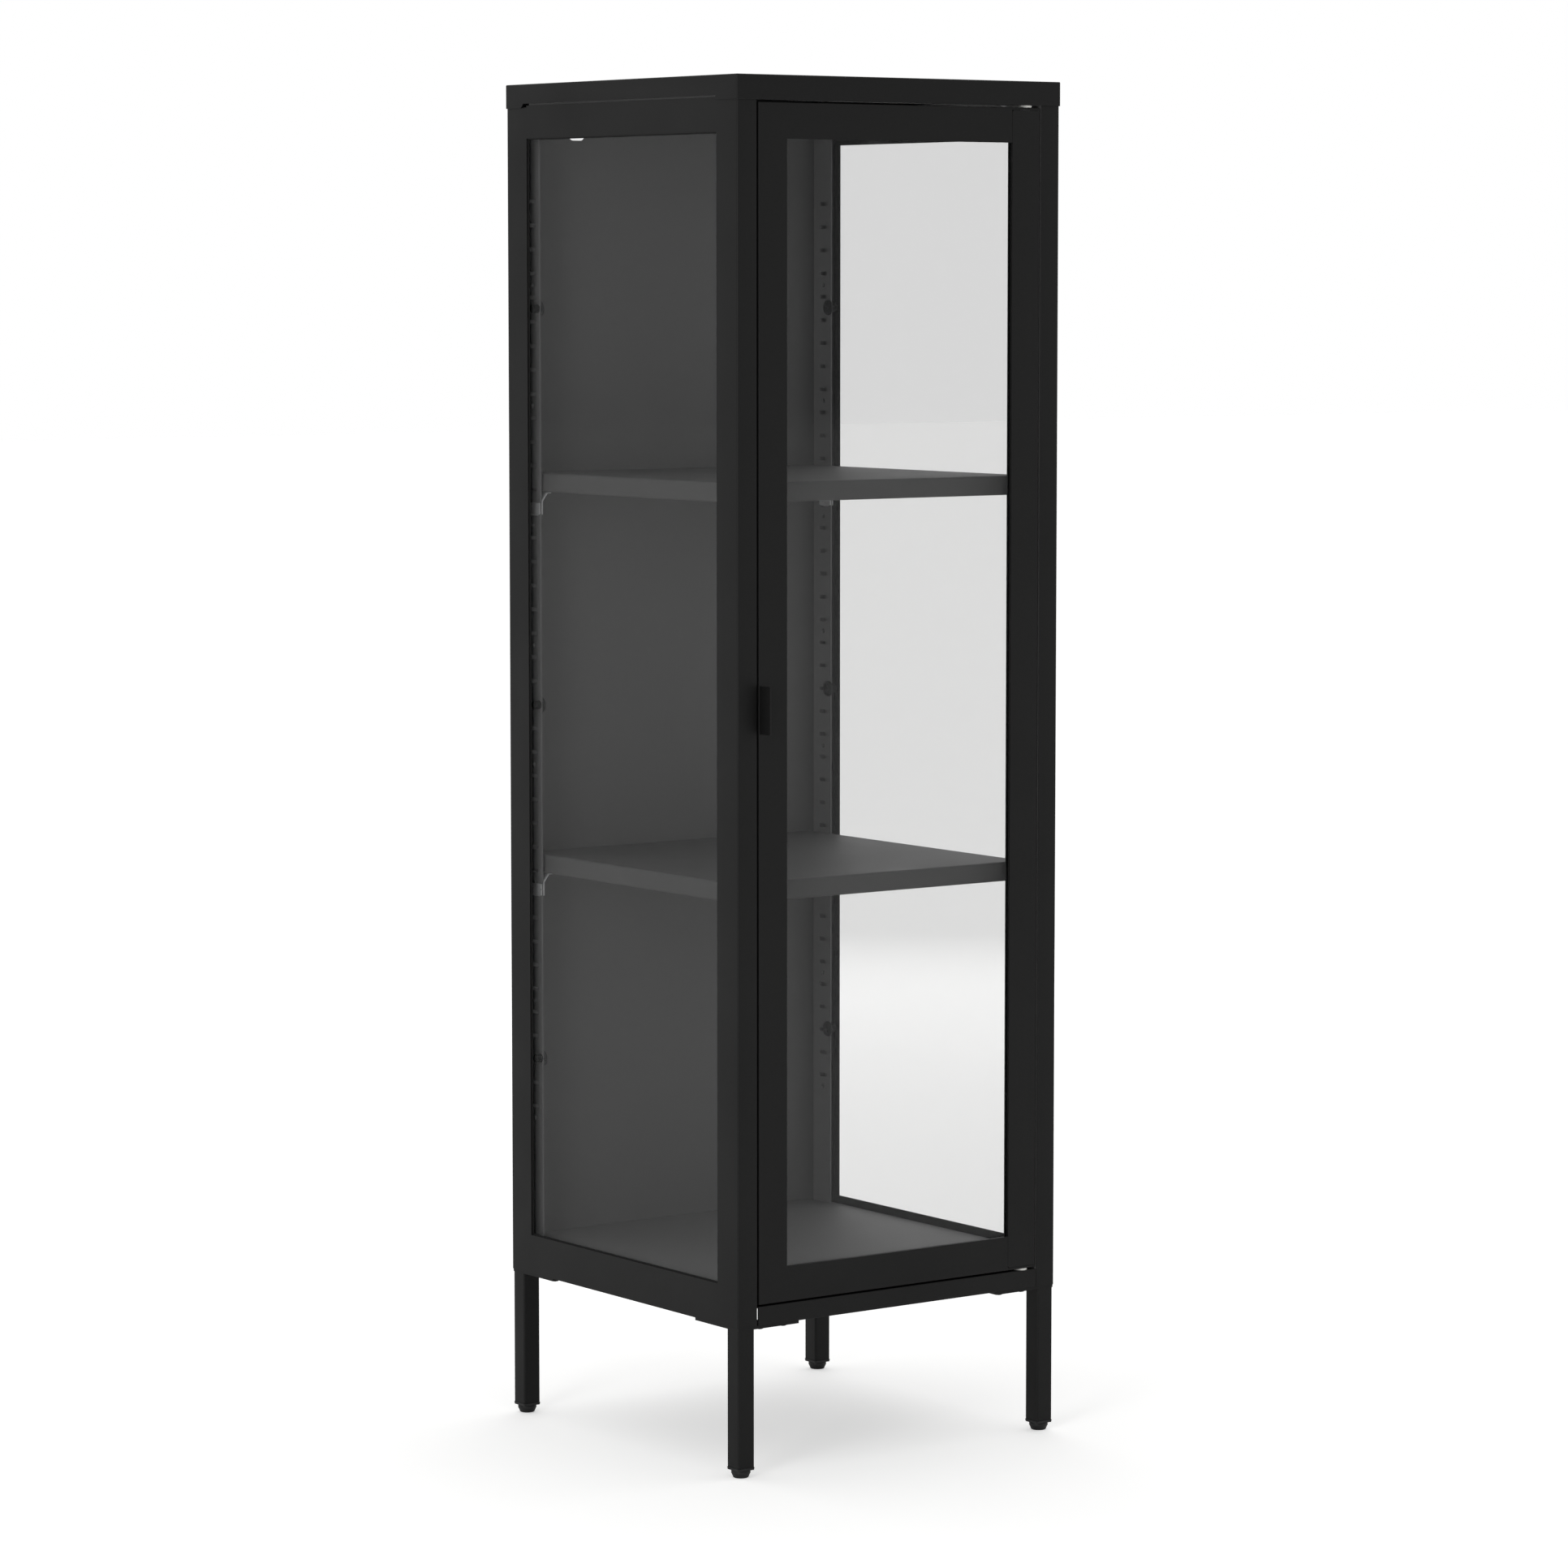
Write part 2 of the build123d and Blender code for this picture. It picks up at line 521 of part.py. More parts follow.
with BuildPart() as door_frame:
    y_face = (Y_FRONT, Y_FRONT + SHEET)
    y_wall = (Y_FRONT + SHEET, Y_FRONT + DOOR_T)
    y_lip = (Y_FRONT + DOOR_T - SHEET, Y_FRONT + DOOR_T)
    stile_x = DOOR_WINDOW_X[1]
    block((DOOR_LEFT, stile_x), y_face, (DOOR_BOTTOM, DOOR_TOP))
    block((DOOR_LEFT, DOOR_LEFT + SHEET), y_wall, (DOOR_BOTTOM, DOOR_TOP))
    block((DOOR_LEFT, DOOR_LEFT + LIP), y_lip, (DOOR_BOTTOM, DOOR_TOP))
    for edge, inward in ((DOOR_BOTTOM, 1), (DOOR_TOP, -1)):
        block((stile_x, DOOR_RIGHT), y_face, (edge, edge + inward * SHELL_END))
        block((DOOR_LEFT, DOOR_RIGHT), y_wall, (edge, edge + inward * SHEET))
        block((DOOR_LEFT, DOOR_RIGHT), y_lip, (edge, edge + inward * LIP))
    block(
        (DOOR_WINDOW_X[0], DOOR_WINDOW_X[1]), (Y_FRONT - 1, Y_FRONT + SHEET + 1), DOOR_WINDOW_Z,
        Mode.SUBTRACT,
    )
    outline = door_frame.edges().filter_by(
        lambda e: abs(e.center().Y - Y_FRONT) < 0.01
        and (
            abs(e.center().X - DOOR_LEFT) < 0.01
            or abs(e.center().Z - DOOR_BOTTOM) < 0.01
            or abs(e.center().Z - DOOR_TOP) < 0.01
        )
    )
    fillet(outline, SHEET * 0.5)
    # slot that the pull tab's tail passes through, and the two pivot holes
    handle_z = (Z_LOW + HANDLE_MID - HANDLE_H / 2, Z_LOW + HANDLE_MID + HANDLE_H / 2)
    tab_x = (DOOR_LEFT + SHEET, DOOR_LEFT + SHEET + HANDLE_T)
    block(tab_x, (Y_FRONT - 1, Y_FRONT + SHEET), handle_z, Mode.SUBTRACT)
    for low, high in ((DOOR_BOTTOM - 1, DOOR_BOTTOM + SHEET), (DOOR_TOP - SHEET, DOOR_TOP + 1)):
        upright_rod(PIVOT_X, PIVOT_Y, (low, high), PIN_R + PIN_CLEAR, Mode.SUBTRACT)
save(door_frame, "door_frame")

with BuildPart() as door_hinge_stile:
    stile_z = (DOOR_BOTTOM + SHELL_END + STILE_GAP, DOOR_TOP - SHELL_END - STILE_GAP)
    face_x = (DOOR_WINDOW_X[1] + STILE_GAP, DOOR_RIGHT)
    with BuildSketch(Plane.XZ.offset(-Y_FRONT - SHEET)):
        with Locations((sum(face_x) / 2, sum(stile_z) / 2)):
            Rectangle(face_x[1] - face_x[0], stile_z[1] - stile_z[0])
    extrude(amount=SHEET)
    inner_corners = door_hinge_stile.edges().filter_by(Axis.Y).sort_by(Axis.X)[:2]
    fillet(inner_corners, 3.0)
    block((DOOR_RIGHT - SHEET, DOOR_RIGHT), (Y_FRONT + SHEET, Y_FRONT + DOOR_T), stile_z)
    lip_z = (DOOR_BOTTOM + LIP + 1, DOOR_TOP - LIP - 1)
    block((DOOR_RIGHT - LIP, DOOR_RIGHT), (Y_FRONT + DOOR_T - SHEET, Y_FRONT + DOOR_T), lip_z)
    clear_z = ((stile_z[0], lip_z[0]), (lip_z[1], stile_z[1]))
    for low, high in clear_z:
        block(
            (DOOR_RIGHT - SHEET, DOOR_RIGHT),
            (Y_FRONT + DOOR_T - SHEET - STILE_GAP, Y_FRONT + DOOR_T),
            (low, high), Mode.SUBTRACT,
        )
    outer_edge = door_hinge_stile.edges().filter_by(Axis.Z).filter_by(
        lambda e: abs(e.center().Y - Y_FRONT) < 0.01 and abs(e.center().X - DOOR_RIGHT) < 0.01
    )
    fillet(outer_edge, SHEET * 0.5)
save(door_hinge_stile, "door_hinge_stile")

WINDOW_MID = (sum(DOOR_WINDOW_X) / 2, sum(DOOR_WINDOW_Z) / 2)
WINDOW_SIZE = (DOOR_WINDOW_X[1] - DOOR_WINDOW_X[0], DOOR_WINDOW_Z[1] - DOOR_WINDOW_Z[0])
GLASS_FRONT = Y_FRONT + SHEET + GASKET_T


def grown(by):
    """The door window's size with the same margin added all round."""
    return (WINDOW_SIZE[0] + 2 * by, WINDOW_SIZE[1] + 2 * by)


with BuildPart() as door_glass:
    with BuildSketch(Plane.XZ.offset(-GLASS_FRONT - GLASS_T)):
        with Locations(WINDOW_MID):
            Rectangle(*grown(DOOR_GLASS_LAP))
    extrude(amount=GLASS_T)
    chamfer(door_glass.edges(), 0.4)
save(door_glass, "door_glass")

with BuildPart() as door_gasket:
    ring(
        Plane.XZ.offset(-Y_FRONT - SHEET - GASKET_T), WINDOW_MID,
        grown(0), grown(DOOR_GLASS_LAP - 1), GASKET_T,
    )
save(door_gasket, "door_gasket")

CLAMP_T = 1.2
CLAMP_FOOT = 8.0
with BuildPart() as door_glass_clamp:
    # a frame of Z section: a foot on the door's face, a web and a lip on the glass
    back = GLASS_FRONT + GLASS_T + CLAMP_T
    web_in = DOOR_GLASS_LAP + 0.6
    ring(
        Plane.XZ.offset(-Y_FRONT - SHEET - CLAMP_T), WINDOW_MID,
        grown(web_in), grown(web_in + CLAMP_FOOT), CLAMP_T,
    )
    ring(
        Plane.XZ.offset(-back), WINDOW_MID,
        grown(web_in), grown(web_in + CLAMP_T), back - Y_FRONT - SHEET,
    )
    ring(Plane.XZ.offset(-back), WINDOW_MID, grown(1.0), grown(web_in + CLAMP_T), CLAMP_T)
save(door_glass_clamp, "door_glass_clamp")

with BuildPart() as door_handle:
    block(tab_x, (Y_FRONT - HANDLE_REACH, Y_FRONT + HANDLE_TAIL), handle_z)
    tip_corners = door_handle.edges().filter_by(Axis.X).filter_by(lambda e: e.center().Y < Y_FRONT)
    fillet(tip_corners, 2.0)
    fillet(door_handle.faces().sort_by(Axis.Y)[0].edges().filter_by(Axis.Z), 0.5)
save(door_handle, "door_handle")

RIVET_SPREAD = 28.0      # between the pull tab's two rivets
RIVET_HEAD = (3.5, 0.8)  # radius and height of the domed head outside
RIVET_TAIL = (3.0, 1.2)  # and of the closed end inside

with BuildPart() as handle_rivets:
    rivet_y = Y_FRONT + HANDLE_TAIL / 2 + SHEET
    for rise in (-RIVET_SPREAD / 2, RIVET_SPREAD / 2):
        rivet_z = Z_LOW + HANDLE_MID + rise
        with Locations(Location((DOOR_LEFT - RIVET_HEAD[1] / 2, rivet_y, rivet_z), (0, 90, 0))):
            Cylinder(*RIVET_HEAD)
        with Locations(Location((tab_x[1] + RIVET_TAIL[1] / 2, rivet_y, rivet_z), (0, 90, 0))):
            Cylinder(*RIVET_TAIL)
save(handle_rivets, "handle_rivets")


# ------------------------------------------------------------ door pivots
def pivot_pin(base, up):
    """A pin with a head inside the door, rising (1) or hanging (-1) from base."""
    under = base - up * SHEET
    reach = BUSH_COLLAR_T + SHEET + PIN_END
    with BuildPart() as pin:
        upright_rod(PIVOT_X, PIVOT_Y, (under - up * PIN_HEAD_T, under), PIN_HEAD_R)
        upright_rod(PIVOT_X, PIVOT_Y, (base - up * SHEET, base + up * reach), PIN_R)
        tip = pin.edges().filter_by(GeomType.CIRCLE).sort_by(Axis.Z)[-1 if up > 0 else 0]
        chamfer(tip, 0.6)
    return pin


def pivot_bush(seat, into):
    """A nylon bush: a collar in the door gap and a sleeve through the sheet."""
    collar_end = seat - into * BUSH_COLLAR_T
    sleeve_end = seat + into * (SHEET + BUSH_END)
    with BuildPart() as bush:
        upright_rod(PIVOT_X, PIVOT_Y, (collar_end, seat), BUSH_COLLAR_R)
        upright_rod(PIVOT_X, PIVOT_Y, (seat, sleeve_end), BUSH_R)
        upright_rod(PIVOT_X, PIVOT_Y, (collar_end, sleeve_end), PIN_R + PIN_CLEAR, Mode.SUBTRACT)
    return bush


save(pivot_pin(DOOR_TOP, 1), "pivot_pin_upper")
save(pivot_pin(DOOR_BOTTOM, -1), "pivot_pin_lower")
save(pivot_bush(CAP_BOTTOM, 1), "pivot_bush_upper")
save(pivot_bush(SILL_Z, -1), "pivot_bush_lower")


# ------------------------------------------------------------ magnetic catches
CATCH_L = 40.0
CATCH_H = 11.0
CATCH_FACE = Y_FRONT + DOOR_T
CATCH_LAP = 2.6          # catch past the door's top and bottom edges' gap
CATCH_BACK = 0.6         # catch body behind the magnet's face
MAGNET_D = 5.0
catch_x = (DOOR_LEFT + 8, DOOR_LEFT + 8 + CATCH_L)
catch_places = (
    (SILL_Z + CATCH_LAP, SILL_Z + CATCH_LAP + CATCH_H),
    (CAP_BOTTOM - CATCH_LAP - CATCH_H, CAP_BOTTOM),
)


def catch_magnet(low, mode=Mode.ADD):
    """The bar magnet that stands just proud of one catch."""
    across_catch = (catch_x[0] + MAGNET_D, catch_x[1] - MAGNET_D)
    block(across_catch, (CATCH_FACE, CATCH_FACE + MAGNET_D), (low + 2, low + CATCH_H - 2), mode)


with BuildPart() as magnetic_catches:
    for low, high in catch_places:
        block(catch_x, (CATCH_FACE + CATCH_BACK, STEP_Y), (low, high))
        catch_magnet(low, Mode.SUBTRACT)
save(magnetic_catches, "magnetic_catches")

with BuildPart() as catch_magnets:
    for low, high in catch_places:
        catch_magnet(low)
save(catch_magnets, "catch_magnets")


# ------------------------------------------------------------ legs, plugs, feet
LEG_MID = LEG_INSET + LEG_W / 2
TUBE_LOW = FOOT_H + PLUG_COLLAR
TUBE_HIGH = Z_LOW - LEG_PLATE_T


def leg(side, end):
    """A square tube welded under an L-shaped plate."""
    x = side * (HALF_W - LEG_MID)
    y = along(end, LEG_MID, LEG_MID)[0]
    with BuildPart() as tube:
        with BuildSketch(Plane.XY.offset(TUBE_LOW)):
            with Locations((x, y)):
                RectangleRounded(LEG_W, LEG_W, LEG_CORNER_R)
                hollow = LEG_W - 2 * LEG_WALL
                RectangleRounded(hollow, hollow, LEG_CORNER_R - LEG_WALL, mode=Mode.SUBTRACT)
        extrude(amount=TUBE_HIGH - TUBE_LOW)
        plate_z = (TUBE_HIGH, Z_LOW)
        block(across(side, LEG_INSET, LEG_PLATE_ARM), along(end, LEG_INSET, LEG_PLATE_W), plate_z)
        block(across(side, LEG_INSET, LEG_PLATE_W), along(end, LEG_PLATE_W, LEG_PLATE_ARM), plate_z)
        for reach in LEG_BOLTS:
            for bx, by in ((reach, LEG_BOLT_LINE), (LEG_BOLT_LINE, reach)):
                upright_rod(
                    side * (HALF_W - bx), along(end, by, by)[0],
                    (TUBE_HIGH - 1, Z_LOW + 1), BOLT_R + BOLT_CLEAR, Mode.SUBTRACT,
                )
    return tube


for corner, (side, end) in CORNERS.items():
    save(leg(side, end), f"leg_{corner}")

with BuildPart() as leg_bolts:
    for side, end in CORNERS.values():
        for reach in LEG_BOLTS:
            for bx, by in ((reach, LEG_BOLT_LINE), (LEG_BOLT_LINE, reach)):
                x = side * (HALF_W - bx)
                y = along(end, by, by)[0]
                upright_rod(x, y, (TUBE_HIGH - BOLT_HEAD_T, TUBE_HIGH), BOLT_HEAD_R)
                upright_rod(x, y, (TUBE_HIGH, Z_LOW), BOLT_R)
save(leg_bolts, "leg_bolts")

with BuildPart() as leg_end_plugs:
    plug = LEG_W - 2 * LEG_WALL - 2 * PLUG_CLEAR
    collar = LEG_W + 2 * PLUG_PROUD
    for side, end in CORNERS.values():
        x = side * (HALF_W - LEG_MID)
        y = along(end, LEG_MID, LEG_MID)[0]
        with BuildSketch(Plane.XY.offset(TUBE_LOW)):
            with Locations((x, y)):
                RectangleRounded(collar, collar, LEG_CORNER_R)
        extrude(amount=-PLUG_COLLAR, taper=PLUG_TAPER)
        with BuildSketch(Plane.XY.offset(TUBE_LOW)):
            with Locations((x, y)):
                Rectangle(plug, plug)
        extrude(amount=PLUG_DEPTH)
        upright_rod(x, y, (FOOT_H, TUBE_LOW + PLUG_DEPTH), STEM_R + PIN_CLEAR, Mode.SUBTRACT)
save(leg_end_plugs, "leg_end_plugs")


def levelling_foot(side, end):
    """A round tapered foot on a screwed stem."""
    x = side * (HALF_W - LEG_MID)
    y = along(end, LEG_MID, LEG_MID)[0]
    with BuildPart() as foot:
        with BuildSketch(Plane.XZ.offset(-y)):
            with BuildLine():
                Polyline(
                    (x, 0),
                    (x + FOOT_R - 1.2, 0),
                    (x + FOOT_R, 1.2),
                    (x + FOOT_R, FOOT_H - 3.5),
                    (x + FOOT_R - 1.5, FOOT_H),
                    (x + STEM_R, FOOT_H),
                    (x + STEM_R, FOOT_H + STEM_L),
                    (x, FOOT_H + STEM_L),
                    close=True,
                )
            make_face()
        revolve(axis=Axis((x, y, 0), (0, 0, 1)))
    return foot


for corner, (side, end) in CORNERS.items():
    save(levelling_foot(side, end), f"foot_{corner}")


# ------------------------------------------------------------ assembly screws
HEAD_R = 3.6
HEAD_T = 1.8
SMALL_HEAD_R = 2.6
CAP_SCREW_IN = 12.0      # cap screws in from the case's side
TRAY_SCREW_IN = 16.0
REAR_SCREW_IN = 9.5      # rear screws in front of the case's back


def window_y(share):
    """A place along the side window, from 0 at its front to 1 at its back."""
    return WINDOW_Y[0] + share * (WINDOW_Y[1] - WINDOW_Y[0])


with BuildPart() as cap_screws:
    seat = Z_TOP - CAP_SIDE_SKIRT - SHEET
    for side in (-1, 1):
        for share in (0.12, 0.5, 0.88):
            upright_rod(side * (HALF_W - CAP_SCREW_IN), window_y(share), (seat - HEAD_T, seat), HEAD_R)
    rear_seat = CAP_BOTTOM - SHEET
    for share in (-0.6, 0.6):
        upright_rod(share * HALF_W, Y_BACK - REAR_SCREW_IN, (rear_seat - HEAD_T, rear_seat), HEAD_R)
save(cap_screws, "cap_screws")

with BuildPart() as upright_screws:
    screw_y = (UPRIGHT_FOOT + UPRIGHT_LEG) / 2
    for side, end in CORNERS.values():
        for z in (FLOOR_Z + 30.0, (FLOOR_Z + UPRIGHT_TOP) / 2, UPRIGHT_TOP - 34.0):
            y = along(end, screw_y, screw_y)[0]
            cross_rod(side, (2 * SHEET, 2 * SHEET + HEAD_T), y, z, SMALL_HEAD_R)
save(upright_screws, "upright_screws")

with BuildPart() as tray_screws:
    for side in (-1, 1):
        for share in (0.3, 0.5, 0.7):
            upright_rod(side * (HALF_W - TRAY_SCREW_IN), window_y(share), (Z_LOW - HEAD_T, Z_LOW), HEAD_R)
    for share in (-0.5, 0.5):
        upright_rod(share * HALF_W, Y_BACK - REAR_SCREW_IN, (Z_LOW - HEAD_T, Z_LOW), HEAD_R)
save(tray_screws, "tray_screws")
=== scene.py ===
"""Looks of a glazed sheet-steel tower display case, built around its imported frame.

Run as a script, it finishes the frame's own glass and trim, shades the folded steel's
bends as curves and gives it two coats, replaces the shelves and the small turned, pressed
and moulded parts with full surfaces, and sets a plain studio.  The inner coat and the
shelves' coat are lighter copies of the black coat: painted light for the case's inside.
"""
import json

import bmesh
import bpy
import numpy as np
from bpy.props import FloatProperty, FloatVectorProperty, PointerProperty, StringProperty
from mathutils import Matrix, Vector


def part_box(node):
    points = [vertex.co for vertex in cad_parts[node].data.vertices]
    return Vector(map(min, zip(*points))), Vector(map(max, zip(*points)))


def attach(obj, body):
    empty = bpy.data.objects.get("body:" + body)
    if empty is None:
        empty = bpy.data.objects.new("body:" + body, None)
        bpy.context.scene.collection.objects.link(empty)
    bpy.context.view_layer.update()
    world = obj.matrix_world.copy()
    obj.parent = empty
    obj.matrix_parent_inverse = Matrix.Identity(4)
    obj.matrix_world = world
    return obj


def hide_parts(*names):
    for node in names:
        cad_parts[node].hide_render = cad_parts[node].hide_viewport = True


bl_info = {
    "name": "Tower Display Case Finisher",
    "version": (1, 0, 0),
    "blender": (4, 5, 0),
    "location": "View3D > Sidebar > Display Case",
    "description": "Finishes a packed tower display case: folded steel, glass, trim and studio",
    "category": "Object",
}

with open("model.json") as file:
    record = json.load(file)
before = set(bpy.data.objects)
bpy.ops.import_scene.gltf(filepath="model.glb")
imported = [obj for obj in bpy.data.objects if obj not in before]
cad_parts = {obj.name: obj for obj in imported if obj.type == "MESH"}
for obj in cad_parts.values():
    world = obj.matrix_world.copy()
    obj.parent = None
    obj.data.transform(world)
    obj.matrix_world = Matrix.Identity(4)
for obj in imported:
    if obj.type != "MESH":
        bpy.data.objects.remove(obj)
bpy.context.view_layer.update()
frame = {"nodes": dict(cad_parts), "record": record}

MM = 0.001
CORNERS = ("front_left", "front_right", "back_left", "back_right")
LEVELS = ("lower", "upper")
HANDS = ("left", "right")

# Folded sheets and tubes with the body that each rides on.
SHEETS = [(f"door_{part}", "door") for part in ("frame", "hinge_stile", "glass_clamp", "handle")]
SHEETS += [(f"{panel}_panel", "case") for panel in ("top", "back", "bottom")]
SHEETS += [(f"side_panel_{hand}", "case") for hand in HANDS]
SHEETS += [(f"{part}_{corner}", "case") for part in ("upright", "leg") for corner in CORNERS]

# Corners of the box whose faces take the inner coat: just within the case's outer skin.
# The inner coat is a lighter copy of the black coat, painted light for the case's inside.
PAINTED_LIGHT_LOW = np.array([-202.0, -196.3, 188.0]) * MM
PAINTED_LIGHT_HIGH = np.array([202.0, 212.3, 1398.7]) * MM

JOIN_WITHIN = 1e-6  # metres: corners closer than this are one corner
CRISP_TURN = np.radians(35)  # a fold sharper than this stays a crisp edge
AXIS = 0.1 * MM  # radius left at the axis of a turned piece

CLIP_TAIL = 12.7 * MM  # height of the clip's outer plate over its foot
CLIP_NECK = 5.5 * MM  # half width where a clip passes its slot
CLIP_BEND = 1.1 * MM  # radius of a clip's folds, at its middle
BOLT_HEAD = 3.0 * MM
BOLT_SHANK = 2.5 * MM  # radius

# Second tones: each is mixed with a finish's main tone.
RUBBER_BLOOM = "1b1b1a"
SPARKED_BLACK = "1c1c1d"
SPARKED_WHITE = "f7f6f0"
GROUND_NICKEL = "77746f"
SCUFFED_FLOOR = "f1f1f0"

# Area lights: name, place, size in metres, watts.
LIGHTS = (
    ("left_panel_light", (-3.8, -2.0, 1.5), (1.2, 2.6), 36.0),
    ("back_panel_light", (2.4, 3.2, 1.3), (2.6, 1.0), 17.0),
)
LIGHT_AIM = (0, 0, 0.7)
FLOOR_LIFT = 0.46  # the floor's own glow, seen by the camera alone
BEHIND = (0.59, 0.81, 0.0)  # level direction from the camera past the case
WHITE = (1.0, 1.0, 1.0, 1.0)


# ------------------------------------------------------------------ settings
class CaseFinish(bpy.types.PropertyGroup):
    """Colours of the case, as sRGB hex values."""

    coat: StringProperty(name="Powder coat", description="Main tone of the coated steel", default="0f0f0f")
    coat_light: StringProperty(
        name="Coat, raised grain", description="Tone of the coat's raised grain", default="141414"
    )
    # Painted light: the inner coat is a lighter copy of the black coat, standing in for the light inside the
    # case.
    inner: StringProperty(
        name="Inner coat", description="Main tone of the coat inside the case", default="6a6a6a"
    )
    inner_grain_painted_light: StringProperty(
        name="Inner coat, raised grain", description="Tone of its raised grain", default="707070"
    )
    # Painted light: the shelves' coat is a lighter copy of the black coat too, toned for the light on the
    # shelves.
    shelf: StringProperty(name="Shelf coat", description="Main tone of the shelves' coat", default="525252")
    shelf_grain_painted_light: StringProperty(
        name="Shelf coat, raised grain", description="Tone of its raised grain", default="585858"
    )
    glass: StringProperty(name="Glass", description="Tint of the clear panes", default="3c3e3e")
    rubber: StringProperty(name="Rubber", description="Tone of the gaskets and pads", default="0c0c0c")
    zinc: StringProperty(name="Zinc", description="Tone of the bright zinc plate", default="e9e9ea")
    zinc_dark: StringProperty(name="Zinc, dull", description="Duller patches of the plate", default="c4c5c7")
    nylon: StringProperty(
        name="Black nylon", description="Tone of the feet, plugs and retainers", default="151516"
    )
    white_nylon: StringProperty(name="White nylon", description="Tone of the pivot bushes", default="eeeeea")
    magnet: StringProperty(name="Magnet", description="Tone of the nickel-plated magnets", default="8e8e90")


class CaseFolds(bpy.types.PropertyGroup):
    """Sizes that the folded shelves and clips add to the frame's own."""

    sheet: FloatProperty(
        name="Sheet", description="Thickness of the shelf and clip sheet", default=1.5 * MM,
        unit="LENGTH", subtype="DISTANCE",
    )
    bend: FloatProperty(
        name="Bend radius", description="Outside radius of a shelf's folds", default=2.2 * MM,
        unit="LENGTH", subtype="DISTANCE",
    )
    shelf_return: FloatProperty(
        name="Shelf return", description="Width of a shelf's lower return", default=14 * MM, unit="LENGTH"
    )
    clip_lean: FloatProperty(
        name="Clip lean", description="How far a clip's web leans in under its shelf", default=6.5 * MM,
        unit="LENGTH",
    )
    clip_web: FloatProperty(
        name="Clip web", description="Height of a clip's leaning web", default=8.5 * MM, unit="LENGTH"
    )


class StudioSettings(bpy.types.PropertyGroup):
    """Camera, floor and lights."""

    camera_place: FloatVectorProperty(
        name="Camera place", description="Where the camera stands", default=(-3.2954, -4.5023, 1.2058),
        unit="LENGTH",
    )
    camera_turn: FloatProperty(
        name="Camera turn", description="Turn of the view from straight ahead, to the right",
        default=np.radians(36.187), unit="ROTATION",
    )
    camera_dip: FloatProperty(
        name="Camera dip", description="How far the view points down", default=np.radians(5.433),
        unit="ROTATION",
    )
    lens: FloatProperty(
        name="Lens", description="Focal length on a 36 mm sensor", default=123.4, unit="CAMERA"
    )
    floor: StringProperty(name="Floor", description="Tone of the floor", default="f4f4f3")
    floor_size: FloatProperty(name="Floor size", description="Side of the floor", default=60.0, unit="LENGTH")


# ------------------------------------------------------------------ materials
def linear(hex_colour):
    """Linear RGBA of an sRGB hex colour: c/12.92 in the toe, else ((c + 0.055)/1.055)^2.4."""
    srgb = np.array([int(hex_colour[i : i + 2], 16) for i in (0, 2, 4)]) / 255
    value = np.where(srgb <= 0.04045, srgb / 12.92, ((srgb + 0.055) / 1.055) ** 2.4)
    return (*value.tolist(), 1.0)


def add(tree, kind, settings, inputs):
    """Adds one node; each input is a plain value or another node's output."""
    node = tree.nodes.new(kind)
    for name, value in settings.items():
        setattr(node, name, value)
    for name, value in inputs.items():
        socket = node.inputs[name]
        if isinstance(value, bpy.types.NodeSocket):
            tree.links.new(value, socket)
        else:
            socket.default_value = value
    return node


def new_material(name, shader_inputs):
    """An empty material: its tree, its Object coordinates and its surface shader."""
    material = bpy.data.materials.new(name)
    material.use_nodes = True
    tree = material.node_tree
    tree.nodes.clear()
    place = add(tree, "ShaderNodeTexCoord", {}, {}).outputs["Object"]
    shader = add(tree, "ShaderNodeBsdfPrincipled", {}, shader_inputs)
    add(tree, "ShaderNodeOutputMaterial", {}, {"Surface": shader.outputs[0]})
    return material, tree, place, shader


def noise(tree, place, size_mm, detail=2.0, roughness=0.5):
    """Noise whose lumps are about size_mm across."""
    settings = {"Vector": place, "Scale": 1 / (size_mm * MM), "Detail": detail, "Roughness": roughness}
    return add(tree, "ShaderNodeTexNoise", {}, settings).outputs["Fac"]


def spread(tree, value, low, high, to_low, to_high):
    """Carries the part of a value between low and high to a new range."""
    limits = {"Value": value, "From Min": low, "From Max": high, "To Min": to_low, "To Max": to_high}
    return add(tree, "ShaderNodeMapRange", {}, limits).outputs[0]


def blend_colours(tree, share, first, second):
    """Mixes two colours by a share from 0 to 1."""
    node = add(tree, "ShaderNodeMix", {"data_type": "RGBA"}, {0: share})
    node.inputs["A"].default_value = first
    node.inputs["B"].default_value = second
    return node.outputs["Result"]


def bump(tree, height, depth_mm, strength, over=None):
    """Turns a height into a normal, depth_mm deep, laid over another relief if one is given."""
    inputs = {"Height": height, "Distance": depth_mm * MM, "Strength": strength}
    if over is not None:
        inputs["Normal"] = over
    return add(tree, "ShaderNodeBump", {}, inputs).outputs[0]


def powder_coat(name, tone, grain_tone, roughness, grain_strength):
    """Polyester powder baked on steel: a fine, closed sand texture, satin or matt.

    The grain is about 0.5 mm across in life and drawn at 1.1 mm, because a finer one
    would not show from where the whole case is seen.  Under it lies a slow waviness of
    42 mm, and the gloss drifts in patches of 110 mm, which gives flat sheet its soft,
    uneven sheen.
    """
    material, tree, place, shader = new_material(name, {"IOR": 1.5, "Specular IOR Level": 0.34})
    grain = noise(tree, place, 1.1, 3.0, 0.6)
    waves = noise(tree, place, 42.0)
    clouds = noise(tree, place, 110.0, 3.0)
    share = spread(tree, grain, 0.35, 0.7, 0.0, 1.0)
    mixed = blend_colours(tree, share, linear(tone), linear(grain_tone))
    tree.links.new(mixed, shader.inputs["Base Color"])
    rough = spread(tree, clouds, 0.3, 0.7, roughness - 0.04, roughness + 0.04)
    tree.links.new(rough, shader.inputs["Roughness"])
    relief = bump(tree, grain, 0.02, grain_strength, bump(tree, waves, 0.04, 0.1))
    tree.links.new(relief, shader.inputs["Normal"])
    return material


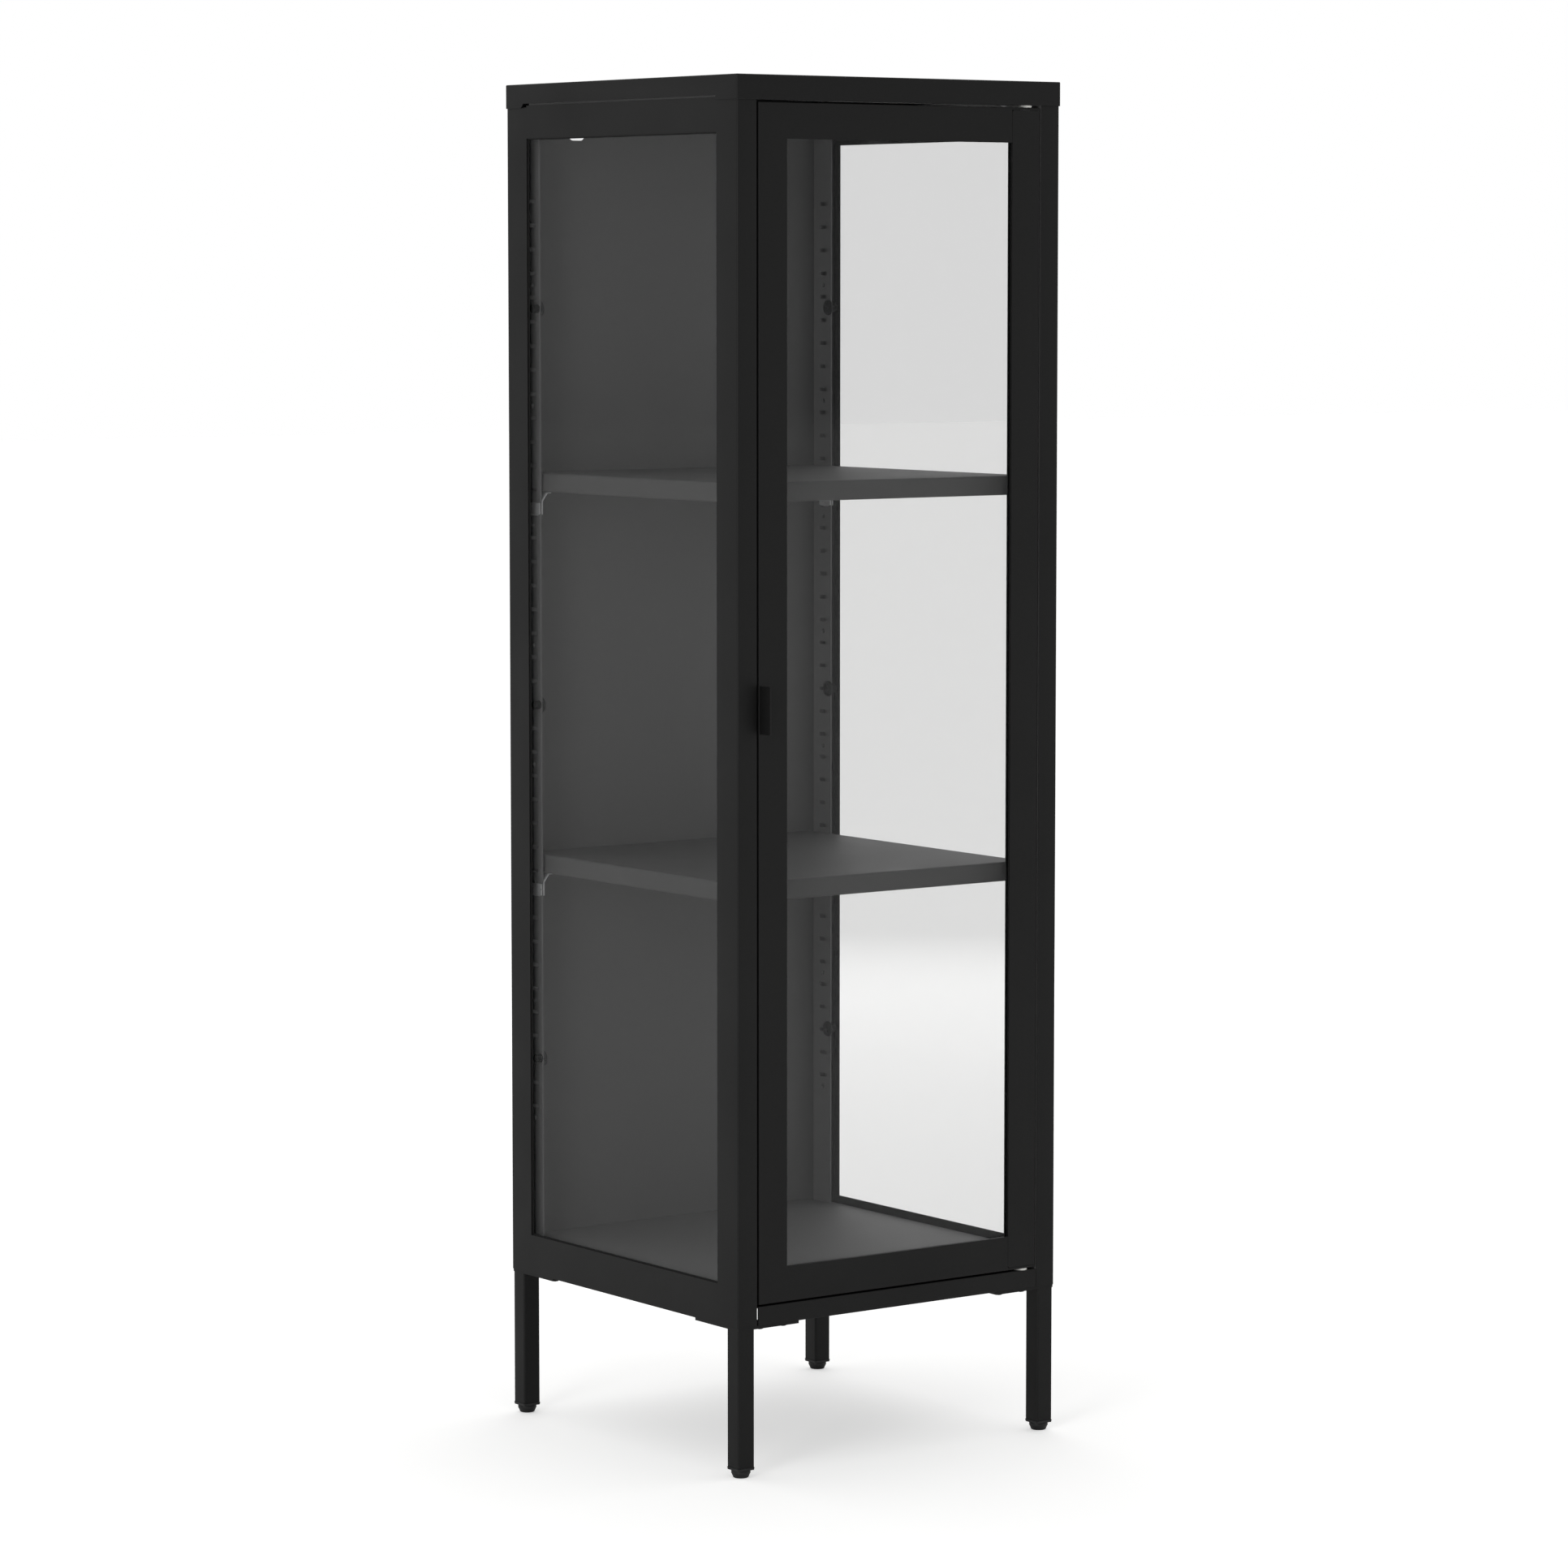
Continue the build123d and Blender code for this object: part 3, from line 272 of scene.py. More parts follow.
def float_glass(name, tint):
    """Toughened soda-lime glass: clear and hard-gloss, with a faint grey-green body and
    the lightest film of wiping marks, some 90 mm across, in its gloss.

    A pane's two faces each cover a tenth of what lies behind them.  The cover thins the
    mirror sheen too, so the IOR and the specular level are set above plain glass's.
    """
    finish = {"IOR": 1.9, "Specular IOR Level": 1.0, "Base Color": linear(tint), "Alpha": 0.1}
    material, tree, place, shader = new_material(name, finish)
    smears = noise(tree, place, 90.0, 4.0, 0.6)
    tree.links.new(spread(tree, smears, 0.35, 0.75, 0.02, 0.09), shader.inputs["Roughness"])
    return material


def extruded_rubber(name, tone):
    """EPDM sponge strip: black and dull, a slight bloom in 14 mm patches, 0.8 mm pores."""
    material, tree, place, shader = new_material(name, {"IOR": 1.52, "Specular IOR Level": 0.3})
    bloom = noise(tree, place, 14.0, 3.0)
    pores = noise(tree, place, 0.8, 2.0)
    mixed = blend_colours(tree, bloom, linear(tone), linear(RUBBER_BLOOM))
    tree.links.new(mixed, shader.inputs["Base Color"])
    tree.links.new(spread(tree, pores, 0.3, 0.7, 0.68, 0.86), shader.inputs["Roughness"])
    tree.links.new(bump(tree, pores, 0.04, 0.5), shader.inputs["Normal"])
    return material


def zinc_plate(name, bright, dull):
    """Bright zinc on pressed steel: silvery, softly clouded in patches of some 6 mm, with
    the press's fine drawing lines 0.4 mm apart along the height.  The clear film over the
    zinc mutes its mirror, so it is only half metallic."""
    material, tree, place, shader = new_material(name, {"Metallic": 0.55})
    clouds = noise(tree, place, 6.0, 4.0, 0.6)
    lined = add(tree, "ShaderNodeMapping", {}, {"Vector": place, "Scale": (1.0, 1.0, 0.06)}).outputs[0]
    lines = noise(tree, lined, 0.4, 2.0)
    mixed = blend_colours(tree, clouds, linear(bright), linear(dull))
    tree.links.new(mixed, shader.inputs["Base Color"])
    tree.links.new(spread(tree, clouds, 0.3, 0.7, 0.26, 0.42), shader.inputs["Roughness"])
    tree.links.new(bump(tree, lines, 0.02, 0.5), shader.inputs["Normal"])
    return material


def moulded_nylon(name, tone, pale_tone, gloss):
    """Injection-moulded polyamide: spark-eroded grain of 0.6 mm, a slight sheen, and
    faint flow patches 18 mm across in its tone."""
    material, tree, place, shader = new_material(name, {"IOR": 1.53})
    grain = noise(tree, place, 0.6, 2.0)
    flow = noise(tree, place, 18.0, 2.0)
    mixed = blend_colours(tree, flow, linear(tone), linear(pale_tone))
    tree.links.new(mixed, shader.inputs["Base Color"])
    tree.links.new(spread(tree, grain, 0.3, 0.7, gloss, gloss + 0.12), shader.inputs["Roughness"])
    tree.links.new(bump(tree, grain, 0.03, 0.4), shader.inputs["Normal"])
    return material


def nickel_plate(name, tone):
    """Nickel-plated magnet: yellowish grey, ground flat with 0.3 mm scratches."""
    material, tree, place, shader = new_material(name, {"Metallic": 1.0})
    ground = add(tree, "ShaderNodeMapping", {}, {"Vector": place, "Scale": (0.08, 1.0, 1.0)}).outputs[0]
    scratches = noise(tree, ground, 0.3, 3.0)
    mixed = blend_colours(tree, scratches, linear(tone), linear(GROUND_NICKEL))
    tree.links.new(mixed, shader.inputs["Base Color"])
    tree.links.new(spread(tree, scratches, 0.3, 0.7, 0.3, 0.5), shader.inputs["Roughness"])
    return material


# ------------------------------------------------------------------ surfaces
def skin(rings, closed=False):
    """Faces over a stack of rings: quads between neighbours, and a cap on each end ring,
    or, when closed, quads from the last ring back to the first."""
    count, around = rings.shape[:2]
    index = np.arange(count * around).reshape(count, around)
    first = index if closed else index[:-1]
    second = np.roll(index, -1, axis=0) if closed else index[1:]
    quads = np.stack([first, np.roll(first, -1, axis=1), np.roll(second, -1, axis=1), second], axis=-1)
    faces = quads.reshape(-1, 4).tolist()
    if not closed:
        faces += [index[0, ::-1].tolist(), index[-1].tolist()]
    return rings.reshape(-1, 3), faces


def joined(parts):
    """Several meshes as one: the vertices stacked, the faces' numbers moved on."""
    starts = np.cumsum([0] + [len(vertices) for vertices, _ in parts])
    vertices = np.concatenate([vertices for vertices, _ in parts])
    faces = [[v + start for v in face] for start, (_, part) in zip(starts, parts) for face in part]
    return vertices, faces


def turned(profile, around):
    """Rings of a solid of revolution: at height h, the points (r cos a, r sin a, h)."""
    radius, height = np.array(profile, float).T
    angle = np.linspace(0, 2 * np.pi, around, endpoint=False)
    x = radius[:, None] * np.cos(angle)
    y = radius[:, None] * np.sin(angle)
    return np.stack([x, y, np.broadcast_to(height[:, None], x.shape)], axis=-1)


def dome(radius, height, power, steps=10):
    """Profile of a domed head from its crown out: height (1 - (r/R)^p)^(1/p)."""
    share = np.sin(np.linspace(0.02, 1, steps) * np.pi / 2)
    return np.stack([radius * share, height * (1 - share**power) ** (1 / power)], axis=-1)


def cross_recess(rings, reach, half_width, depth, above):
    """Presses a cross into the crown: points higher than above and within either arm
    sink by depth, less towards the arm's end."""
    x, y = np.abs(rings[..., 0]), np.abs(rings[..., 1])
    long, short = np.maximum(x, y), np.minimum(x, y)
    inside = (long < reach) & (short < half_width) & (rings[..., 2] > above)
    sunk = rings.copy()
    sunk[..., 2] -= np.where(inside, depth * (1 - 0.6 * long / reach), 0)
    return sunk


def placed(points, origin, axis):
    """Turns local +Z to an axis and moves the points to an origin."""
    turn = Vector((0, 0, 1)).rotation_difference(Vector(axis)).to_matrix()
    return points @ np.array(turn).T + np.array(origin)


def rounded_loop(low, high, radius, steps=5):
    """A rectangle with quarter-circle corners, as points in a plane, anticlockwise."""
    low, high = np.array(low, float), np.array(high, float)
    radius = min(radius, *(high - low) / 2)
    quarter = np.linspace(0, np.pi / 2, steps)
    angle = (quarter + np.arange(4)[:, None] * np.pi / 2).ravel()
    sign = np.array([(1, 1), (-1, 1), (-1, -1), (1, -1)]).repeat(steps, axis=0)
    middle, half = (low + high) / 2, (high - low) / 2 - radius
    return middle + sign * half + radius * np.stack([np.cos(angle), np.sin(angle)], axis=-1)


def loops(low, high, profile, radius, normal="Z"):
    """Rings round a rectangle: each (inset, level) of the profile is the rounded
    rectangle drawn in by inset, at that level along the normal."""
    order = {"Z": (0, 1, 2), "X": (2, 0, 1), "Y": (1, 2, 0)}[normal]
    low, high = np.array(low), np.array(high)
    sharpest = 0.2 * MM
    rings = []
    for inset, level in profile:
        loop = rounded_loop(low + inset, high - inset, max(radius - inset, sharpest))
        ring = np.column_stack([loop, np.full(len(loop), level)])
        rings.append(ring[:, list(order)])
    return np.array(rings)


def rounded_path(points, radius, steps):
    """A polyline whose corners are arcs that touch both runs: the arc's centre lies on
    the turn's bisector, radius / sin(half the angle between the runs) from the corner."""
    points = np.array(points, float)
    share = np.linspace(0, 1, steps)[:, None]
    line = [points[0]]
    for before, corner, after in zip(points, points[1:], points[2:]):
        into, out = (before - corner), (after - corner)
        into, out = into / np.linalg.norm(into), out / np.linalg.norm(out)
        half = np.arccos(np.clip(into @ out, -1, 1)) / 2
        centre = corner + (into + out) / np.linalg.norm(into + out) * radius / np.sin(half)
        start = corner + into * radius / np.tan(half) - centre
        end = corner + out * radius / np.tan(half) - centre
        sweep = np.arccos(np.clip(start @ end / radius**2, -1, 1))
        arc = (np.sin((1 - share) * sweep) * start + np.sin(share * sweep) * end) / np.sin(sweep)
        line.extend(centre + arc)
    line.append(points[-1])
    return np.array(line)


def strip(line, half_width, thickness):
    """Rings of a bent strip: at each point of its middle line, a rectangle as wide as the
    strip is there and as thick as the sheet, square to the line."""
    run = np.gradient(line, axis=0)
    run /= np.linalg.norm(run, axis=1)[:, None]
    normal = np.stack([-run[:, 1], run[:, 0]], axis=-1) * thickness / 2
    ends = [(1, 1), (1, -1), (-1, -1), (-1, 1)]
    rings = [np.column_stack([(line + side * normal), wide * half_width]) for wide, side in ends]
    return np.stack(rings, axis=1)


def mesh_object(name, vertices, faces, material):
    """A closed mesh object with outward faces, its normals weighted by face size."""
    mesh = bpy.data.meshes.new(name)
    mesh.from_pydata(np.asarray(vertices).tolist(), [], faces)
    work = bmesh.new()
    work.from_mesh(mesh)
    bmesh.ops.recalc_face_normals(work, faces=work.faces)
    work.to_mesh(mesh)
    work.free()
    mesh.polygons.foreach_set("use_smooth", np.ones(len(mesh.polygons), bool))
    mesh.materials.append(material)
    piece = bpy.data.objects.new(name, mesh)
    bpy.context.scene.collection.objects.link(piece)
    shading = piece.modifiers.new("Weighted Normal", "WEIGHTED_NORMAL")
    shading.weight = 80
    shading.keep_sharp = True
    return piece


def merged_copy(node, name):
    """A node's mesh as a piece of its own, its corners joined and its rounded folds
    shaded as curves: an edge stays crisp where its faces turn by more than CRISP_TURN."""
    mesh = frame["nodes"][node].data.copy()
    mesh.name = name
    work = bmesh.new()
    work.from_mesh(mesh)
    bmesh.ops.remove_doubles(work, verts=work.verts, dist=JOIN_WITHIN)
    for edge in work.edges:
        edge.smooth = bool(edge.calc_face_angle(np.pi) < CRISP_TURN)
    work.to_mesh(mesh)
    work.free()
    mesh.polygons.foreach_set("use_smooth", np.ones(len(mesh.polygons), bool))
    piece = bpy.data.objects.new(name, mesh)
    bpy.context.scene.collection.objects.link(piece)
    return piece


def mount_piece(piece, body, slot, *nodes):
    """Makes a piece ride on its body and stand for its frame nodes, which it hides. The slot is not used."""
    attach(piece, body)
    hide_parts(*nodes)


def solids_of(node):
    """Boxes of the separate solids in one frame node, in a steady order."""
    copy = frame["nodes"][node].copy()
    copy.data = copy.data.copy()
    copy.parent = None
    bpy.context.scene.collection.objects.link(copy)
    work = bmesh.new()
    work.from_mesh(copy.data)
    bmesh.ops.remove_doubles(work, verts=work.verts, dist=JOIN_WITHIN)
    work.to_mesh(copy.data)
    work.free()
    bpy.ops.object.select_all(action="DESELECT")
    copy.select_set(True)
    bpy.context.view_layer.objects.active = copy
    bpy.ops.object.mode_set(mode="EDIT")
    bpy.ops.mesh.separate(type="LOOSE")
    bpy.ops.object.mode_set(mode="OBJECT")
    boxes = []
    for part in list(bpy.context.selected_objects):
        corners = np.array(part.bound_box)
        boxes.append((corners.min(0), corners.max(0)))
        mesh = part.data
        bpy.data.objects.remove(part)
        bpy.data.meshes.remove(mesh)
    return sorted(boxes, key=lambda box: tuple(np.round(box[0] + box[1], 5)))


def paint(material, *nodes):
    """Gives frame nodes a material in place of their plain one."""
    for name in nodes:
        mesh = frame["nodes"][name].data
        mesh.materials.clear()
        mesh.materials.append(material)


def nodes_of(slot):
    """Names of the frame nodes on one of the record's material slots."""
    return [row["node"] for row in frame["record"]["subparts"] if row["material_slot"] == slot]


def palette(name):
    """One of the finished materials, by its name."""
    return bpy.data.materials[name]


# ------------------------------------------------------------------ operators
class CASE_OT_finishes(bpy.types.Operator):
    """Makes every finish and gives it to the frame's own nodes"""

    bl_idname = "display_case.finishes"
    bl_label = "Make Finishes"

    def execute(self, context):
        tones = context.scene.case_finish
        finishes = {
            "powder_coated_steel": powder_coat(
                "satin_powder_coat", tones.coat, tones.coat_light, roughness=0.54, grain_strength=0.15
            ),
            "clear_glass": float_glass("toughened_glass", tones.glass),
            "black_rubber": extruded_rubber("sponge_rubber", tones.rubber),
            "zinc_plated_steel": zinc_plate("bright_zinc", tones.zinc, tones.zinc_dark),
            "black_nylon": moulded_nylon("black_polyamide", tones.nylon, SPARKED_BLACK, 0.45),
            "white_nylon": moulded_nylon(
                "natural_polyamide", tones.white_nylon, SPARKED_WHITE, 0.35
            ),
            "magnet": nickel_plate("nickel_magnet", tones.magnet),
        }
        # The inner and shelf coats are lighter copies of the black coat: painted light for the inside of the
        # case.
        powder_coat("matt_coat_painted_light", tones.inner, tones.inner_grain_painted_light, roughness=0.66, grain_strength=0.06)
        powder_coat("shelf_coat_painted_light", tones.shelf, tones.shelf_grain_painted_light, roughness=0.62, grain_strength=0.06)
        for slot, material in finishes.items():
            paint(material, *nodes_of(slot))
        return {"FINISHED"}


class CASE_OT_sheets(bpy.types.Operator):
    """Finishes every folded sheet and tube, with a lighter matt copy of the coat on the case's inner faces as
    painted light
    """

    bl_idname = "display_case.sheets"
    bl_label = "Finish Sheets"

    def execute(self, context):
        for node, body in SHEETS:
            piece = merged_copy(node, f"folded_{node}")
            piece.data.materials.clear()
            piece.data.materials.append(palette("satin_powder_coat"))
            # Faces inside the case take the lighter copy of the coat: painted light.
            if body == "case":
                piece.data.materials.append(palette("matt_coat_painted_light"))
                count = len(piece.data.polygons)
                centre = np.empty(count * 3)
                piece.data.polygons.foreach_get("center", centre)
                centre = centre.reshape(-1, 3)
                inside = ((centre > PAINTED_LIGHT_LOW) & (centre < PAINTED_LIGHT_HIGH)).all(axis=1)
                piece.data.polygons.foreach_set("material_index", inside.astype(np.int32))
            mount_piece(piece, body, "powder_coated_steel", node)
        return {"FINISHED"}


class CASE_OT_shelves(bpy.types.Operator):
    """Folds both shelves as pans with rounded bends and lower returns"""

    bl_idname = "display_case.shelves"
    bl_label = "Fold Shelves"

    def execute(self, context):
        folds = context.scene.case_folds
        sheet, bend, back = folds.sheet, folds.bend, folds.shelf_return
        inner = bend - sheet
        turn = np.linspace(0, np.pi / 2, 5)
        for level in LEVELS:
            node = f"shelf_{level}"
            low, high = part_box(node)
            if high.z - low.z < 2 * bend:
                raise ValueError(f"{node} is too thin for its bends")
            lower, upper = low.z + bend, high.z - bend
            top_out = [(bend - bend * np.sin(a), upper + bend * np.cos(a)) for a in turn]
            low_out = [(bend - bend * np.cos(a), lower - bend * np.sin(a)) for a in turn]
            outside = [(2 * back, high.z), *top_out, *low_out, (back, low.z)]
            low_in = [(bend - inner * np.cos(a), lower - inner * np.sin(a)) for a in turn[::-1]]
            top_in = [(bend - inner * np.sin(a), upper + inner * np.cos(a)) for a in turn[::-1]]
            inside = [(back, low.z + sheet), *low_in, *top_in, (2 * back, high.z - sheet)]
            rings = loops(low[:2], high[:2], outside + inside, 2 * bend)
            # The shelves take a lighter copy of the black coat: painted light.
            piece = mesh_object(f"{node}_pan", *skin(rings), palette("shelf_coat_painted_light"))
            mount_piece(piece, node, "powder_coated_steel", node)
        return {"FINISHED"}


class CASE_OT_clips(bpy.types.Operator):
    """Bends the shelf clips from strip, narrow where they pass the uprights' slots"""

    bl_idname = "display_case.clips"
    bl_label = "Bend Shelf Clips"

    def execute(self, context):
        folds = context.scene.case_folds
        sheet = folds.sheet
        for level in LEVELS:
            parts = []
            for low, high in solids_of(f"shelf_clips_{level}"):
                side = np.sign(low[0] + high[0])
                outside, inside = (high[0], low[0]) if side > 0 else (low[0], high[0])
                half, slot_y = (high[1] - low[1]) / 2, (low[1] + high[1]) / 2
                tail = outside - side * sheet / 2
                body = outside - side * 2.5 * sheet
                bottom, top = low[2] + sheet / 2, high[2] - sheet / 2
                lean = body - side * folds.clip_lean
                line = [
                    (tail, bottom + CLIP_TAIL),
                    (tail, bottom),
                    (body, bottom),
                    (body, top - folds.clip_web),
                    (lean, top),
                    (inside, top),
                ]
                path = rounded_path(line, CLIP_BEND, 6)
                passing = np.abs(path[:, 0] - (tail + body) / 2) < sheet * 0.9
                width = np.where(passing & (path[:, 1] < bottom + sheet), CLIP_NECK, half)
                rings = strip(path, width, sheet)
                across, along, up = rings[..., 0], rings[..., 2] + slot_y, rings[..., 1]
                parts.append(skin(np.stack([across, along, up], axis=-1)))
            piece = mesh_object(f"bent_clips_{level}", *joined(parts), palette("bright_zinc"))
            mount_piece(piece, "case", "zinc_plated_steel", f"shelf_clips_{level}")
        return {"FINISHED"}


class CASE_OT_retainers(bpy.types.Operator):
    """Moulds the glass retainers: low domed heads with a rim and a pressed cross"""

    bl_idname = "display_case.retainers"
    bl_label = "Mould Glass Retainers"

    def execute(self, context):
        for hand in HANDS:
            node = f"glass_retainers_{hand}"
            parts = []
            for low, high in solids_of(node):
                side = np.sign(low[0] + high[0])
                radius = (high[1] - low[1]) / 2
                face, tail = (low[0], high[0]) if side > 0 else (high[0], low[0])
                head, rise, shaft = 2.6 * MM, 1.1 * MM, 2.0 * MM
                end = head - abs(face - tail)
                crown = dome(radius - 1.0 * MM, rise, 2.0) + (0, head - rise)
                rim = [(radius - 0.7 * MM, head - 1.05 * MM), (radius - 0.2 * MM, head - 1.2 * MM)]
                foot = [(radius, head - 1.7 * MM), (radius, 0.2 * MM), (radius - 0.3 * MM, 0)]
                stem = [(shaft, 0), (shaft, end), (AXIS, end)]
                rings = turned([*crown, *rim, *foot, *stem], 40)
                rings = cross_recess(rings, 3.2 * MM, 0.75 * MM, 1.0 * MM, head - 0.6 * MM)
                seat = (face + side * head, (low[1] + high[1]) / 2, (low[2] + high[2]) / 2)
                parts.append(skin(placed(rings, seat, (-side, 0, 0))))
            piece = mesh_object(f"retainer_studs_{hand}", *joined(parts), palette("black_polyamide"))
            mount_piece(piece, "case", "black_nylon", node)
        return {"FINISHED"}


class CASE_OT_screws(bpy.types.Operator):
    """Turns the pan-head screws and the leg bolts, each with a pressed cross"""

    bl_idname = "display_case.screws"
    bl_label = "Turn Screws and Bolts"

    def execute(self, context):
        for node in ("cap_screws", "tray_screws", "upright_screws", "leg_bolts"):
            coated, sideways = node == "leg_bolts", node == "upright_screws"
            parts = []
            for low, high in solids_of(node):
                side = np.sign(low[0] + high[0])
                axis = (-side, 0, 0) if sideways else (0, 0, -1)
                radius = (high[1] - low[1]) / 2
                head = BOLT_HEAD if coated else (high - low)[0 if sideways else 2]
                crown = dome(radius, head * 0.75, 2.2) + (0, head * 0.25)
                profile = [*crown, (radius, 0)]
                if coated:
                    end = head - (high[2] - low[2])
                    profile += [(BOLT_SHANK, 0), (BOLT_SHANK, end), (AXIS, end)]
                else:
                    profile += [(AXIS, 0)]
                rings = turned(profile, 32)
                rings = cross_recess(rings, 0.6 * radius, 0.14 * radius, 0.45 * head, 0.55 * head)
                middle = (low + high) / 2
                if sideways:
                    middle[0] = high[0] if side > 0 else low[0]
                else:
                    middle[2] = low[2] + head
                parts.append(skin(placed(rings, middle, axis)))
            finish = "satin_powder_coat" if coated else "bright_zinc"
            slot = "powder_coated_steel" if coated else "zinc_plated_steel"
            piece = mesh_object(f"turned_{node}", *joined(parts), palette(finish))
            mount_piece(piece, "case", slot, node)
        return {"FINISHED"}


class CASE_OT_feet(bpy.types.Operator):
    """Moulds the levelling feet: a rounded sole, a collar and a plain stem"""

    bl_idname = "display_case.feet"
    bl_label = "Mould Feet"

    def execute(self, context):
        for corner in CORNERS:
            node = f"foot_{corner}"
            low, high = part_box(node)
            radius = (high.x - low.x) / 2
            shaft, top, hollow = 4 * MM, 8 * MM, 0.7 * MM
            turn = np.linspace(0, np.pi / 2, 6)
            sole = [
                (radius - (1.6 + 1.6 * (1 - np.sin(a))) * MM, 1.6 * (1 - np.cos(a)) * MM) for a in turn
            ]
            collar = [(radius - 0.4 * MM, 4.2 * MM), (radius, 4.8 * MM), (radius, 7.2 * MM)]
            collar += [(radius - 0.6 * MM, top)]
            stem = [(shaft, top), (shaft, high.z - 0.4 * MM), (3.6 * MM, high.z), (AXIS, high.z)]
            recess = [(AXIS, hollow), (radius - 4.4 * MM, hollow), (radius - 4.0 * MM, 0)]
            rings = turned([*recess, *sole, *collar, *stem], 48)
            place = ((low.x + high.x) / 2, (low.y + high.y) / 2, 0)
            piece = mesh_object(f"moulded_{node}", *skin(rings + place), palette("black_polyamide"))
            mount_piece(piece, node, "black_nylon", node)
        return {"FINISHED"}


class CASE_OT_gaskets(bpy.types.Operator):
    """Runs a rounded rubber bead round each side window and the door's"""

    bl_idname = "display_case.gaskets"
    bl_label = "Run Gaskets"

    def execute(self, context):
        bead, chamfer, corner = 2.2 * MM, 0.3 * MM, 2.0 * MM
        turn = np.linspace(0, np.pi, 7)
        side_run = ("X", [1, 2, 0], 9.5 * MM)
        door_run = ("Y", [2, 0, 1], 7.0 * MM)
        for node, body, run in (
            ("glass_gasket_left", "case", side_run),
            ("glass_gasket_right", "case", side_run),
            ("door_gasket", "door", door_run),
        ):
            normal, axes, wide = run
            low, high = (np.array(end)[axes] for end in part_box(node))
            near, far = low[2], high[2]
            middle, half = (near + far) / 2, (far - near) / 2
            nose = [(wide - bead + bead * np.sin(a), middle - half * np.cos(a)) for a in turn]
            section = [(chamfer, near), *nose, (chamfer, far), (0, middle)]
            rings = loops(low[:2], high[:2], section, corner, normal)
            piece = mesh_object(f"bead_{node}", *skin(rings, closed=True), palette("sponge_rubber"))
            mount_piece(piece, body, "black_rubber", node)
        return {"FINISHED"}


